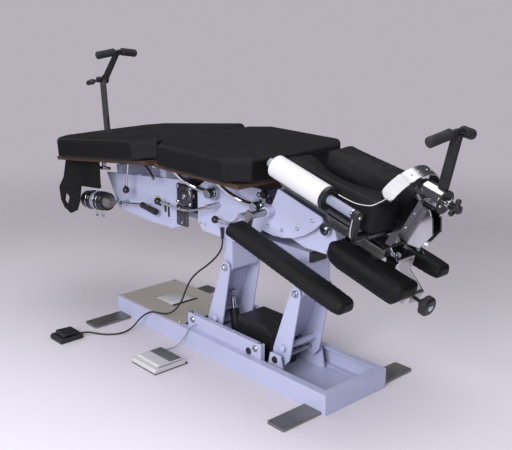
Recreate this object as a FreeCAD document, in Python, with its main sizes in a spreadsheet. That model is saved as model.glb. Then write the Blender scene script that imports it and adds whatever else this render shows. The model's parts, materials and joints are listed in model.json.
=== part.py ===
import FreeCAD, Part
import math
import os
import Sketcher
from FreeCAD import Placement, Rotation, Vector

# Flexion-distraction table, head end towards +X, patient's left and right along Y.
# The origin is on the floor under the middle of the base.

SIZES = [
    # Base frame of steel channel
    ("base_long", 1247.0), ("base_wide", 315.0), ("base_high", 76.2),
    ("channel_wall", 5.0), ("flange_thick", 7.0), ("flange_reach", 30.0), ("pan_thick", 4.0),
    ("cover_long", 436.0), ("cover_thick", 3.0),
    ("outrigger_long", 670.0), ("outrigger_wide", 80.0), ("outrigger_thick", 10.0),
    ("outrigger_at", 566.0),
    # Side rails and pivot brackets on the base
    ("rail_thick", 20.0), ("rail_low", -160.0), ("rail_high", 270.0), ("rail_top", 131.0),
    ("bracket_thick", 8.0), ("bracket_foot", 100.0), ("bracket_round", 26.0),
    # Parallelogram lift
    ("pivot_high", 90.0), ("foot_pivot", -54.0), ("head_pivot", 325.0),
    ("arm_long", 275.5), ("arm_lean", 15.15), ("arm_half", 80.0), ("arm_plate", 6.0),
    ("arm_low_half", 43.0), ("arm_high_half", 24.0), ("pin_round", 9.0), ("bore_gap", 0.5),
    # Lift ram
    ("ram_base", -5.7), ("ram_base_high", 55.2), ("ram_eye_up", 124.8), ("ram_eye_back", 14.7),
    ("ram_round", 20.0), ("ram_rod_round", 9.0), ("ram_barrel_long", 98.0), ("ram_pin", 7.0),
    ("ram_eye_pin", 6.0), ("ram_eye_gap", 2.8),
    # Power unit
    ("unit_low", 72.0), ("unit_high", 262.0), ("unit_half", 66.0), ("unit_top", 176.0),
    
    # Lift beam and chassis
    ("beam_low", 468.0), ("beam_tall", 35.0), ("beam_half", 37.0), ("beam_left", -120.0),
    ("beam_right", 417.0), ("tube_wall", 4.0), ("plug_long", 13.0),
    ("pedestal_half", 25.0), ("pedestal_cheek", 66.0), ("pedestal_plate", 6.0),
    ("shell_half", 80.0), ("shell_plate", 6.0), ("shell_left", -146.0), ("shell_top", 697.0),
    # Cushions
    ("cushion_half", 290.0), ("cushion_nose", 215.0), ("cushion_cut", 78.0),
    ("cushion_thick", 85.0), ("cushion_edge", 24.0), ("cushion_top", 842.0),
    ("cushion_crown", 10.0),
    ("board_thick", 15.0), ("board_inset", 24.0),
    ("thoracic_left", -192.0), ("thoracic_right", 330.0),
    ("caudal_long", 712.0), ("caudal_gap", 20.0), ("caudal_tilt", 7.0),
    # Flexion pivot and caudal section
    ("flexion_at", -188.0), ("flexion_high", 598.0), ("trunnion_round", 14.0),
    ("beam_plate_in", 79.0), ("beam_plate", 6.0), ("ear_round", 22.0),
    # Head section
    ("tilt_at", 300.0), ("tilt_high", 853.0), ("tilt_angle", 15.5), ("sector_round", 307.0),
    ("sector_in", 84.0), ("sector_plate", 6.0), ("rail_web", 22.0), ("rail_tall", 35.0),
    ("head_drop", 140.0), ("head_far", 526.0),
    ("roller_round", 20.0), ("roller_at", 533.0),
    ("roller_high", 622.0), ("grip_round", 17.0), ("ball_round", 14.0),
    # Armrests
    ("arm_tube_at", 42.0), ("arm_tube_high", -214.0),
    # Paper bow and foot switches
    ("bow_half", 118.0), ("bow_tall", 103.0), ("bow_thick", 3.0), ("bow_wide", 44.0),
    ("bow_at", 497.0), ("bow_foot", 54.0), ("pedal_bevel", 6.0), ("pedal_collar", 10.0),
    # Arm pads
    ("armrest_out", 245.0), ("armrest_half", 46.0), ("armrest_long", 540.0),
]

document = FreeCAD.newDocument("FlexionTable")
sheet = document.addObject("Spreadsheet::Sheet", "Sizes")
for row, (alias, number) in enumerate(SIZES, start=1):
    sheet.set("A%d" % row, alias)
    sheet.set("B%d" % row, repr(number))
    sheet.setAlias("B%d" % row, alias)
document.recompute()


class Size:
    """A number and the formula over the sheet's cells that gives it in the document."""

    def __init__(self, value, text):
        self.value = value
        self.text = text

    def __float__(self):
        return self.value

    def __neg__(self):
        return Size(-self.value, "(-1 * %s)" % self.text)

    def __add__(self, other):
        other = size(other)
        return Size(self.value + other.value, "(%s + %s)" % (self.text, other.text))

    def __sub__(self, other):
        other = size(other)
        return Size(self.value - other.value, "(%s - %s)" % (self.text, other.text))

    def __mul__(self, other):
        other = size(other)
        return Size(self.value * other.value, "(%s * %s)" % (self.text, other.text))

    def __truediv__(self, other):
        other = size(other)
        return Size(self.value / other.value, "(%s / %s)" % (self.text, other.text))

    def __radd__(self, other):
        return size(other) + self

    def __rsub__(self, other):
        return size(other) - self

    def __rmul__(self, other):
        return size(other) * self


def size(number):
    """A plain number as a Size."""
    if isinstance(number, Size):
        return number
    return Size(float(number), "(%.6f)" % number)


def sine(angle):
    angle = size(angle)
    return Size(math.sin(math.radians(angle.value)), "sin(%s)" % angle.text)


def cosine(angle):
    angle = size(angle)
    return Size(math.cos(math.radians(angle.value)), "cos(%s)" % angle.text)


class Sheet:
    """The sheet's sizes by name."""


s = Sheet()
for alias, number in SIZES:
    setattr(s, alias, Size(number, "Sizes." + alias))

PARTS = []
count = {}


def new(kind, name):
    """A new object of the document with a name of its own."""
    count[name] = count.get(name, 0) + 1
    return document.addObject(kind, "%s_%d" % (name, count[name]))


def bind(thing, prop, number):
    """Sets a property and ties it to its formula where it has one."""
    number = size(number)
    thing.setExpression(prop, number.text)


def stand(thing, at, turn=None):
    """Puts a thing at a point, with each coordinate tied to its formula."""
    if turn is not None:
        thing.Placement = Placement(Vector(0, 0, 0), turn)
    for letter, number in zip("xyz", at):
        bind(thing, "Placement.Base." + letter, number)
    return thing


def box(x, y, z):
    """A block between a low and a high value along each axis."""
    block = new("Part::Box", "block")
    for prop, (low, high) in zip(("Length", "Width", "Height"), (x, y, z)):
        bind(block, prop, size(high) - low)
    return stand(block, (x[0], y[0], z[0]))


AXES = {"x": Vector(1, 0, 0), "y": Vector(0, 1, 0), "z": Vector(0, 0, 1)}


def drum(axis, at, radius, length, top_radius=None):
    """A round bar or cone from a point along +X, +Y or +Z."""
    kind = "Part::Cylinder" if top_radius is None else "Part::Cone"
    bar = new(kind, "drum")
    if top_radius is None:
        bind(bar, "Radius", radius)
    else:
        bind(bar, "Radius1", radius)
        bind(bar, "Radius2", top_radius)
    bind(bar, "Height", length)
    return stand(bar, at, Rotation(Vector(0, 0, 1), AXES[axis]))


def vector(point):
    return Vector(*[float(number) for number in point])


def bar_between(start, end, radius):
    """A round bar from one point to another."""
    first, last = vector(start), vector(end)
    bar = new("Part::Cylinder", "bar")
    bind(bar, "Radius", radius)
    bar.Height = (last - first).Length
    return stand(bar, start, Rotation(Vector(0, 0, 1), last - first))


def origin_plane(body, role):
    for feature in body.Origin.OriginFeatures:
        if feature.Role == role:
            return feature
    raise ValueError(role)


def plate(points, low, high, plane="XZ", corner=None):
    """A plate whose outline is drawn in the XZ or XY plane, from low to high across it."""
    body = new("PartDesign::Body", "plate")
    sketch = body.newObject("Sketcher::SketchObject", body.Name + "_outline")
    sketch.AttachmentSupport = [(origin_plane(body, plane + "_Plane"), "")]
    sketch.MapMode = "FlatFace"
    offset = -size(high) if plane == "XZ" else size(low)
    bind(sketch, "AttachmentOffset.Base.z", offset)
    corners = [Vector(float(a), float(b), 0) for a, b in points]
    for index, point in enumerate(corners):
        following = corners[(index + 1) % len(corners)]
        sketch.addGeometry(Part.LineSegment(point, following), False)
    for index in range(len(corners)):
        following = (index + 1) % len(corners)
        sketch.addConstraint(Sketcher.Constraint("Coincident", index, 2, following, 1))
    for index, (a, b) in enumerate(points):
        for kind, number in (("DistanceX", a), ("DistanceY", b)):
            number = size(number)
            at = sketch.addConstraint(
                Sketcher.Constraint(kind, -1, 1, index, 1, number.value))
            if "Sizes" in number.text:
                sketch.setExpression("Constraints[%d]" % at, number.text)
    pad = body.newObject("PartDesign::Pad", body.Name + "_pad")
    pad.Profile = sketch
    bind(pad, "Length", size(high) - low)
    body.Tip = pad
    if corner is not None:
        document.recompute()
        round_edges(body, pad, plane, corner)
    return body


def round_edges(body, pad, plane, radius):
    """Rounds the edges that run across a plate."""
    across = Vector(0, 1, 0) if plane == "XZ" else Vector(0, 0, 1)
    names = []
    for index, edge in enumerate(pad.Shape.Edges, start=1):
        if abs(edge.tangentAt(edge.FirstParameter).dot(across)) > 0.999:
            names.append("Edge%d" % index)
    fillet = body.newObject("PartDesign::Fillet", body.Name + "_corners")
    fillet.Base = (pad, names)
    bind(fillet, "Radius", radius)
    body.Tip = fillet


def turned(profile, at, axis):
    """A turned piece: (radius, height) points round an axis through a point."""
    body = new("PartDesign::Body", "turned")
    sketch = body.newObject("Sketcher::SketchObject", body.Name + "_profile")
    sketch.AttachmentSupport = [(origin_plane(body, "XZ_Plane"), "")]
    sketch.MapMode = "FlatFace"
    corners = [Vector(float(a), float(b), 0) for a, b in profile]
    for index, point in enumerate(corners):
        sketch.addGeometry(Part.LineSegment(point, corners[(index + 1) % len(corners)]), False)
    for index in range(len(corners)):
        following = (index + 1) % len(corners)
        sketch.addConstraint(Sketcher.Constraint("Coincident", index, 2, following, 1))
    for index, (a, b) in enumerate(profile):
        for kind, number in (("DistanceX", a), ("DistanceY", b)):
            number = size(number)
            place = sketch.addConstraint(
                Sketcher.Constraint(kind, -1, 1, index, 1, number.value))
            if "Sizes" in number.text:
                sketch.setExpression("Constraints[%d]" % place, number.text)
    turn = body.newObject("PartDesign::Revolution", body.Name + "_turn")
    turn.Profile = sketch
    turn.ReferenceAxis = (sketch, ["V_Axis"])
    turn.Angle = 360
    body.Tip = turn
    direction = AXES[axis] if isinstance(axis, str) else axis
    return stand(body, at, Rotation(Vector(0, 0, 1), direction))


def fuse(*things):
    joined = new("Part::MultiFuse", "joined")
    joined.Shapes = list(things)
    joined.Refine = True
    return joined


def cut(base, *tools):
    result = new("Part::Cut", "cut")
    result.Base = base
    result.Tool = tools[0] if len(tools) == 1 else fuse(*tools)
    return result


def group(*things):
    """Separate solids that share one node."""
    together = new("Part::Compound", "group")
    together.Links = list(things)
    return together


def mirrored(thing):
    """The same piece on the other side of the table."""
    copy = new("Part::Mirroring", "mirror")
    copy.Source = thing
    copy.Normal = Vector(0, 1, 0)
    return copy


def both_sides(thing):
    return group(thing, mirrored(thing))


def route(points, radius, name):
    """A round tube along straight runs joined by tangent arcs."""
    corners = [Vector(*point) for point in points]
    edges = []
    start = corners[0]
    tightest = None
    for before, here, after in zip(corners, corners[1:], corners[2:]):
        inward = (here - before).normalize()
        outward = (after - here).normalize()
        turn = inward.getAngle(outward)
        shorter = min((here - before).Length, (after - here).Length)
        reach = 0.45 * shorter
        bend = reach / math.tan(turn / 2)
        tightest = bend if tightest is None else min(tightest, bend)
        first = here - inward * reach
        last = here + outward * reach
        inner = (outward - inward).normalize()
        middle = here + inner * (bend / math.cos(turn / 2) - bend)
        edges.append(Part.LineSegment(start, first).toShape())
        edges.append(Part.Arc(first, middle, last).toShape())
        start = last
    edges.append(Part.LineSegment(start, corners[-1]).toShape())
    path = Part.Wire(edges)
    direction = (corners[1] - corners[0]).normalize()
    ring = Part.Wire([Part.Circle(corners[0], direction, radius).toShape()])
    tube = path.makePipeShell([ring], True, True)
    if tightest is not None:
        print("%s: length %.0f, tightest arc %.1f" % (name, path.Length, tightest))
    expected = math.pi * radius ** 2 * path.Length
    if abs(tube.Volume / expected - 1) > 0.01:
        raise ValueError(name + " has the wrong volume")
    feature = new("Part::Feature", "route")
    feature.Shape = tube
    return feature


def keep(thing, label):
    """Names a finished piece."""
    thing.Label = label
    PARTS.append(thing)
    return thing


def turn_about_y(thing, angle, at_x, at_z):
    """Turns a finished flat piece about a line along Y, nose down towards +X."""
    thing.Placement = Placement(Vector(0, 0, 0), Rotation(Vector(0, 1, 0), 1))
    bind(thing, "Placement.Rotation.Angle", angle)
    bind(thing, "Placement.Base.x", at_x)
    bind(thing, "Placement.Base.z", at_z)
    return thing


def base_pieces():
    half_long, half_wide = s.base_long / 2, s.base_wide / 2
    inner = half_wide - s.channel_wall
    lip = half_wide - s.flange_reach
    frame = cut(
        box((-half_long, half_long), (-half_wide, half_wide), (0, s.base_high)),
        box((-(half_long - s.channel_wall), half_long - s.channel_wall), (-inner, inner),
            (s.flange_thick, s.base_high - s.flange_thick)),
        box((-(half_long - s.flange_reach), half_long - s.flange_reach), (-lip, lip),
            (-1, s.base_high + 1)),
        *[box((at - s.outrigger_wide / 2 - 0.5, at + s.outrigger_wide / 2 + 0.5),
              (-half_wide - 1, half_wide + 1), (-1, s.outrigger_thick))
          for at in (-s.outrigger_at, s.outrigger_at)])
    pan_end = s.outrigger_at - s.outrigger_wide / 2 - 1
    keep(fuse(frame, box((-pan_end, pan_end), (-lip - 1, lip + 1), (0, s.pan_thick))),
         "base_frame")
    cover_left = -half_long + s.channel_wall
    keep(box((cover_left, cover_left + s.cover_long), (-(half_wide - 6), half_wide - 6),
             (s.base_high, s.base_high + s.cover_thick)), "cover_plate")
    bars = [plate([(at - s.outrigger_wide / 2, -s.outrigger_long / 2),
                   (at + s.outrigger_wide / 2, -s.outrigger_long / 2),
                   (at + s.outrigger_wide / 2, s.outrigger_long / 2),
                   (at - s.outrigger_wide / 2, s.outrigger_long / 2)],
                  0, s.outrigger_thick, "XY", 6) for at in (-s.outrigger_at, s.outrigger_at)]
    keep(group(*bars), "outrigger_bars")

    rail_in = lip - s.rail_thick
    rail = plate([(s.rail_low, s.pan_thick), (s.rail_high, s.pan_thick),
                  (s.rail_high, s.rail_top), (s.rail_low, s.rail_top)], rail_in, lip)
    plates = []
    for at in (s.foot_pivot, s.head_pivot):
        outline = plate([(at - s.bracket_foot / 2, s.pan_thick),
                         (at + s.bracket_foot / 2, s.pan_thick),
                         (at + s.bracket_round, s.pivot_high + s.bracket_round - 6),
                         (at - s.bracket_round, s.pivot_high + s.bracket_round - 6)],
                        rail_in - s.bracket_thick, rail_in, "XZ", 5)
        plates.append(cut(outline, drum("y", (at, 0, s.pivot_high), s.pin_round, half_wide)))
    cheeks = [plate([(s.ram_base - 22, s.pan_thick), (s.ram_base + 22, s.pan_thick),
                     (s.ram_base + 11, s.ram_base_high + 12),
                     (s.ram_base - 11, s.ram_base_high + 12)], low, low + 6, "XZ", 4)
              for low in (-31, 25)]
    ram_pin = drum("y", (s.ram_base, -31, s.ram_base_high), s.ram_pin, 62)
    sides = [rail] + plates
    keep(group(*sides, *[mirrored(side) for side in sides], fuse(*cheeks, ram_pin)),
         "side_brackets")
    pin_end = rail_in - 0.1
    pins = [drum("y", (at, -pin_end, s.pivot_high), s.pin_round - 0.05, pin_end * 2)
            for at in (s.foot_pivot, s.head_pivot)]
    caps = [turned([(0, 0), (13, 0), (13, 3), (10, 6), (0, 6)], (at, lip, s.rail_top - 22), "y")
            for at in (s.rail_low + 30, s.rail_high - 30)]
    keep(group(*pins, *caps, *[mirrored(cap) for cap in caps]), "lower_pivot_pins")

    unit = plate([(s.unit_low, s.pan_thick), (s.unit_high, s.pan_thick),
                  (s.unit_high, s.unit_top - 30), (s.unit_high - 40, s.unit_top),
                  (s.unit_low, s.unit_top)], -s.unit_half, s.unit_half, "XZ", 8)
    keep(unit, "power_unit_cover")

def lift_arm(label, at, holds_ram):
    """A U-section arm on its lower pin, open towards the head end."""
    up_x, up_z = sine(s.arm_lean), cosine(s.arm_lean)

    def along(up, across):
        """A point up the arm and across it, towards the head end."""
        return (at + up_x * up + up_z * across, s.pivot_high + up_z * up - up_x * across)

    low, high = s.arm_low_half, s.arm_high_half
    outline = [along(-24, -26), along(-24, 26), along(8, low), along(30, low),
               along(s.arm_long + 4, high), along(s.arm_long + 22, 12),
               along(s.arm_long + 22, -12), along(s.arm_long + 4, -high), along(30, -low),
               along(8, -low)]
    full = plate(outline, -s.arm_half, s.arm_half, "XZ", 3)
    inner = s.arm_half - s.arm_plate
    web = 6
    hollow = plate([along(52, -low + web + 1), along(52, low + 40), along(-60, low + 40),
                    along(-60, -low - 40), along(36, -low - 40), along(36, -low + web + 1)],
                   -inner, inner)
    upper = plate([along(50, -low + web + 1), along(s.arm_long - 46, -high + web - 3),
                   along(s.arm_long - 46, -high - 40), along(s.arm_long + 60, -high - 40),
                   along(s.arm_long + 60, low + 40), along(50, low + 40)], -inner, inner)
    bores = [drum("y", (along(up, 0)[0], -s.base_wide / 2, along(up, 0)[1]),
                  s.pin_round + s.bore_gap, s.base_wide) for up in (0, s.arm_long)]
    stub = along(46, 6)
    if holds_ram:
        lugs = [plate([along(s.ram_eye_up - 16, 7 - low), along(s.ram_eye_up + 16, 7 - low),
                       along(s.ram_eye_up + 9, 12 - s.ram_eye_back),
                       along(s.ram_eye_up - 9, 12 - s.ram_eye_back)], edge, edge + 6)
                for edge in (-22, 16)]
        eye = along(s.ram_eye_up, -s.ram_eye_back)
        pin = drum("y", (eye[0], -22, eye[1]), s.ram_eye_pin, 44)
        stubs = [drum("y", (stub[0], start, stub[1]), 12, 16)
                 for start in (s.arm_half - 4, -s.arm_half - 12)]
        extras = lugs + [pin] + stubs
    else:
        extras = [drum("y", (stub[0], -(s.arm_half + 12), stub[1]), 12, (s.arm_half + 12) * 2)]
    keep(fuse(cut(full, hollow, upper, *bores), *extras), label)


def ram_pieces():
    eye = (s.foot_pivot + sine(s.arm_lean) * s.ram_eye_up - cosine(s.arm_lean) * s.ram_eye_back,
           s.pivot_high + cosine(s.arm_lean) * s.ram_eye_up
           + sine(s.arm_lean) * s.ram_eye_back)
    low = Vector(float(s.ram_base), 0, float(s.ram_base_high))
    high = Vector(float(eye[0]), 0, float(eye[1]))
    axis = (high - low).normalize()
    start = (s.ram_base, 0, s.ram_base_high)
    barrel = turned([(0, 8), (12, 8), (s.ram_round, 16), (s.ram_round, s.ram_barrel_long),
                     (14, s.ram_barrel_long + 4), (0, s.ram_barrel_long + 4)], start, axis)
    cross = drum("y", (s.ram_base, -24, s.ram_base_high), s.ram_pin + 0.3, 48)
    eye_ring = drum("y", (s.ram_base, -14, s.ram_base_high), 14, 28)
    bore = turned([(0, 30), (s.ram_rod_round + 0.3, 30),
                   (s.ram_rod_round + 0.3, 200), (0, 200)], start, axis)
    keep(cut(fuse(barrel, eye_ring), bore, cross), "ram_cylinder")
    length = (high - low).Length
    rod = turned([(0, 74), (s.ram_rod_round, 74), (s.ram_rod_round, length), (0, length)],
                 start, axis)
    head = drum("y", (eye[0], -12, eye[1]), 14, 24)
    keep(cut(fuse(rod, head), drum("y", (eye[0], -14, eye[1]), s.ram_eye_pin + s.ram_eye_gap, 28)),
         "ram_rod")


def chassis_pieces():
    low, top = s.beam_low, s.beam_low + s.beam_tall
    wall = s.tube_wall
    keep(cut(box((s.beam_left, s.beam_right), (-s.beam_half, s.beam_half), (low, top)),
             box((s.beam_left - 1, s.beam_right + 1), (-s.beam_half + wall, s.beam_half - wall),
                 (low + wall, top - wall))), "lift_beam")
    end_plug = fuse(box((s.beam_right, s.beam_right + s.plug_long),
                        (-s.beam_half, s.beam_half), (low, top)),
                    box((s.beam_right - 20, s.beam_right),
                        (-s.beam_half + wall, s.beam_half - wall), (low + wall, top - wall)))
    gland = turned([(0, 0), (9, 0), (7, 8), (5.5, 42), (0, 42)], (10, -89, 513),
                   Vector(2, 0, -42))
    keep(group(end_plug, gland), "rubber_fittings")
    pedestals = []
    for pivot in (s.foot_pivot, s.head_pivot):
        at = pivot + sine(s.arm_lean) * s.arm_long
        height = s.pivot_high + cosine(s.arm_lean) * s.arm_long
        half = s.pedestal_half
        body = plate([(at - half, low), (at - half, height), (at - half + 9, height - 18),
                      (at, height - half), (at + half - 9, height - 18), (at + half, height),
                      (at + half, low)], -s.pedestal_cheek, s.pedestal_cheek)
        inner = s.pedestal_cheek - s.pedestal_plate
        hollow = box((at - half + 5, at + half - 5), (-inner, inner), (height - 60, low - 8))
        pin_end = s.arm_half + 6
        pin = drum("y", (at, -pin_end, height), s.pin_round, pin_end * 2)
        pedestals.append(fuse(cut(body, hollow), pin))
    keep(group(*pedestals), "lift_pedestals")

    side = plate([(s.shell_left, 500), (-118, 471), (148, 471), (200, 520), (226, 560),
                  (300, 600), (330, 640), (300, 660), (209, s.shell_top), (47, s.shell_top),
                  (20, 680), (-90, 680), (s.shell_left, 640)],
                 s.shell_half - s.shell_plate, s.shell_half)
    floor = plate([(s.shell_left + 30, 0 - 1 * (s.shell_half - s.shell_plate)),
                   (150, -(s.shell_half - s.shell_plate)),
                   (150, s.shell_half - s.shell_plate),
                   (s.shell_left + 30, s.shell_half - s.shell_plate)],
                  top, top + 6, "XY")
    cheek = s.shell_half - 22
    bracket = cut(
        plate([(418, 560), (470, 530), (518, 540), (553, 552), (570, 580), (545, 646),
               (520, 640), (440, 604)], cheek, cheek + 6, "XZ", 5),
        drum("y", (s.roller_at, cheek - 4, s.roller_high), 8.3, 30))
    arm = plate([(250, 572), (300, 560), (420, 528), (520, 528), (520, 560), (420, 590),
                 (250, 640)], cheek, cheek + 6)
    arms = fuse(bracket, arm)
    spacer = box((205, 252), (cheek, s.shell_half - s.shell_plate), (590, 620))
    keep(fuse(side, mirrored(side), floor, arms, mirrored(arms), spacer, mirrored(spacer),
              box((300, 325), (-cheek, cheek), (563, 590)),
              box((-60, 60), (-74, 74), (600, 606))), "chassis_shell")
    wheel = turned([(0, 0), (s.roller_round, 0), (s.roller_round, 9), (11, 9), (11, 14),
                    (0, 14)], (s.roller_at, 82.5, s.roller_high), "y")
    shaft = drum("y", (s.roller_at, -83, s.roller_high), 7.9, 166)
    keep(fuse(shaft, wheel, mirrored(wheel)), "tilt_rollers")

    bottom = s.cushion_top - s.cushion_thick
    keep(cushion(s.thoracic_left, s.thoracic_right, bottom, s.cushion_top), "thoracic_cushion")
    board_low = bottom - s.board_thick
    board = box((s.thoracic_left + s.board_inset, s.thoracic_right - s.board_inset),
                (-(s.cushion_half - s.board_inset), s.cushion_half - s.board_inset),
                (board_low, bottom))
    posts = [box((at, at + 40), (-74, 74), (s.shell_top - 17, board_low))
             for at in (-90, 150)]
    keep(fuse(board, *posts), "thoracic_board")

    rods = []
    clamps = []
    board_under = float(board_low) - 0.1
    above = box((-300, 300), (-260, -140), (board_under, board_under + 60))
    for start in (-30, 226):
        run = [(start, -108, 645), (start - 70, -118, 648), (start - 122, -164, 690),
               (start - 132, -207, board_under + 10)]
        rods.append(cut(route(run, 9, "support bar"), above))
        clamps.append(turned([(0, 0), (12, 0), (26, 26), (27, 30), (17, 30), (17, 56), (0, 56)],
                             (start + 6, -80, 645), Vector(0, -1, 0)))
    sides = []
    for rod, clamp in zip(rods, clamps):
        sides.append(cut(clamp, rod))
    keep(group(*rods, *[mirrored(rod) for rod in rods]), "support_bars")
    keep(group(*sides, *[mirrored(side) for side in sides]), "bar_clamps")
    stem = route([(154, -122, 596), (100, -122, 549), (20, -122, 551)], 5, "tilt lever")
    keep(fuse(stem, ball((10, -122, 551)), drum("y", (154, -128, 596), 10, 47.5)),
         "head_tilt_lever")


def ball(at):
    """A ball knob with a flat on its crown and its neck."""
    profile = [(0, -s.ball_round)]
    for degrees in range(-70, 71, 20):
        profile.append((cosine(degrees) * s.ball_round, sine(degrees) * s.ball_round))
    profile.append((0, s.ball_round))
    return turned(profile, at, "y")


def cushion(left, right, low, top):
    """A soft block with cut corners at its head end, or at both ends."""
    half = s.cushion_half
    nose = s.cushion_nose
    chamfer = s.cushion_cut
    crown = s.cushion_crown
    points = [(left + chamfer, -half), (right - chamfer, -half), (right - crown, -nose),
              (right, 0), (right - crown, nose), (right - chamfer, half),
              (left + chamfer, half), (left + crown, nose), (left, 0), (left + crown, -nose)]
    return plate(points, low, top, "XY", s.cushion_edge)


def swing_pieces():
    """The block that swings to the side and carries the flexion trunnions."""
    at, height = s.flexion_at, s.flexion_high
    block = plate([(at - 84, height - 62), (at + 24, height - 62), (at + 24, height + 44),
                   (at - 84, height + 44)], -60, 60, "XZ", 6)
    trunnion = drum("y", (at, -88, height), s.trunnion_round, 176)
    shoulder = drum("y", (at, -78, height), 20, 156)
    keep(cut(fuse(block, trunnion, shoulder),
             drum("z", (at, 0, height - 70), 10.3, 30),
             drum("z", (at, 0, height + 30), 10.3, 30)), "swing_block")
    pin_low = drum("z", (at, 0, height - 90), 10, 45)
    pin_high = drum("z", (at, 0, height + 34), 10, 42)
    shelf = box((at - 24, s.shell_left + 40), (-50, 50), (height - 78, height - 64))
    roof = box((at - 24, s.shell_left + 40), (-50, 50), (height + 46, height + 60))
    keep(fuse(shelf, roof, pin_low, pin_high,
              box((s.shell_left + 14, s.shell_left + 40), (-74, 74),
                  (height - 78, height + 60))), "swing_clevis")


def caudal_pieces():
    at, height = s.flexion_at, s.flexion_high
    inner, outer = s.beam_plate_in, s.beam_plate_in + s.beam_plate
    outline = plate([(-781, 594), (-689, 448), (-464, 437), (-311, 440), (-226, 470),
                     (-226, height - 22), (at, height - s.ear_round),
                     (at + s.ear_round, height), (at, height + s.ear_round),
                     (-228, height + 24), (-231, 654)], inner, outer)
    slots = [drum("y", (at, 60, height), s.trunnion_round + 0.3, 60),
             box((-357, -345), (60, 120), (500, 540)), box((-334, -324), (60, 120), (483, 542))]
    side = cut(outline, *slots)
    ties = [box((left, left + 8), (-inner, inner), (low, low + 90))
            for left, low in ((-330, 470), (-520, 470), (-690, 470))]
    mounts = [box((left, left + 16), (-112.2, -outer), (474, 484)) for left in (-790, -700)]
    tilt_x = s.thoracic_left - s.caudal_gap
    runners = [turn_about_y(group(box((left, left + 40), (-inner, inner), (-196, -140.3))),
                            -s.caudal_tilt, tilt_x, s.cushion_top) for left in (-200, -520)]
    keep(fuse(side, mirrored(side), *ties, *mounts, *runners), "caudal_beam")

    motor = turned([(0, 0), (30, 0), (38, 8), (38, 150), (36, 156), (18, 205), (12, 205),
                    (12, 222), (0, 222)], (-850, -150.3, 470), Vector(215, 0, 25))
    keep(motor, "traction_motor")

    lever_b = route([(-16, -135, 596), (-150, -135, 551), (-322, -135, 556)], 5,
                    "flexion lever")
    keep(fuse(lever_b, ball((-334, -135, 557)), drum("y", (-16, -141, 596), 10, 60.7)),
         "flexion_lever")
    hub_high = under_board(-511) - 8.3
    stem = bar_between((-511, -150, hub_high), (-534, -150, 580), 4.5)
    keep(fuse(stem, ball((-536, -150, 568)), drum("y", (-511, -180, hub_high), 8, 60)),
         "traction_lever")
    grip = fuse(bar_between((-618, -118, 492), (-420, -118, 520), 5),
                bar_between((-470, -118, 512), (-370, -118, 500), 12))
    keep(fuse(grip, drum("y", (-618, -124, 492), 9, 38.7)), "grip_lever")


def under_board(at):
    """The height of the caudal board's underside at a place along the table."""
    tilt = math.radians(float(s.caudal_tilt))
    hinge = float(s.thoracic_left - s.caudal_gap)
    depth = float(s.cushion_thick + s.board_thick)
    return float(s.cushion_top) - depth / math.cos(tilt) - (hinge - at) * math.tan(tilt)


def carriage_pieces():
    """The sliding top of the caudal section, built level and then tilted at its head end."""
    tilt_x, tilt_z = s.thoracic_left - s.caudal_gap, s.cushion_top
    near = -s.caudal_long
    soft = cushion(near, size(0), -s.cushion_thick, size(0))
    keep(turn_about_y(soft, -s.caudal_tilt, tilt_x, tilt_z), "caudal_cushion")
    board_low = -s.cushion_thick - s.board_thick
    board = box((near + s.board_inset, -s.board_inset),
                (-(s.cushion_half - s.board_inset), s.cushion_half - s.board_inset),
                (board_low, -s.cushion_thick))
    rails = [box((near + 60, -60), (at - 10, at + 10), (board_low - 40, board_low))
             for at in (-55, 55)]
    socket = box((near - 40, near + 30), (4, 20), (board_low - 25, -s.cushion_thick - 0.3))
    keep(turn_about_y(fuse(board, socket, *rails), -s.caudal_tilt, tilt_x, tilt_z),
         "caudal_board")
    strap = plate([(-917, under_board(-917) - 0.2), (-650, under_board(-650) - 0.2),
                   (-650, 560), (-800, 546), (-830, 470),
                   (-904, 402), (-985, 440), (-997, 509), (-950, 560)],
                  84 - s.cushion_half, 90 - s.cushion_half, "XZ", 6)
    hole = plate([(-960, 450), (-920, 430), (-900, 480), (-945, 500)], -210, -190)
    keep(cut(strap, hole), "ankle_strap")
    bar = bar_between((-850, -188, 625), (-596, -188, 655), 7)
    hangers = [box((left, left + 10), (-196, -181), (low, under_board(left) - 0.1))
               for left, low in ((-840, 620), (-640, 644))]
    post = plate([(-946, 640), (-916, 640), (-944, 975), (-974, 975)], 20, 34, "XZ", 4)
    keep(group(fuse(bar, *hangers), post), "chrome_posts")


def foot_handle_pieces():
    pivot = (-960, 975)
    knuckle = drum("y", (pivot[0], 34.3, pivot[1]), 20, 14)
    arm = plate([(-972, 985), (-948, 966), (-846, 1090), (-866, 1104)], 34.3, 46, "XZ", 4)
    middle = (-842, 40, 1106)
    ends = [(-860, 40 + reach, 1092) for reach in (-94, 94)]
    keep(fuse(arm, knuckle, drum("y", (-850, 34.3, 1098), 12, 12),
              *[bar_between(end, middle, 8) for end in ends]), "foot_handle_arm")
    grips = []
    for end in ends:
        inward = vector(middle) - vector(end)
        inner_end = vector(middle) - inward.normalize() * 16
        grips.append(smooth_bar(tuple(vector(end) - inward * 8), tuple(inner_end)))
    keep(group(*grips), "foot_handle_grips")
    stem = turned([(0, 0), (6, 0), (6, 44), (9, 48), (13, 62), (11, 100), (0, 104)],
                  (pivot[0], 10, pivot[1]), Vector(-101, 0, -25))
    keep(fuse(drum("y", (pivot[0], 0, pivot[1]), 13, 19.7), stem), "foot_clamp_lever")


def smooth_bar(start, end):
    """A foam sleeve with rounded ends on an 8 mm bar."""
    length = (vector(end) - vector(start)).Length
    reach = s.grip_round
    return turned([(8, 0), (reach - 4, 0), (reach, 5), (reach, length - 5),
                   (reach - 4, length), (8, length)], start, vector(end) - vector(start))


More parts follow.
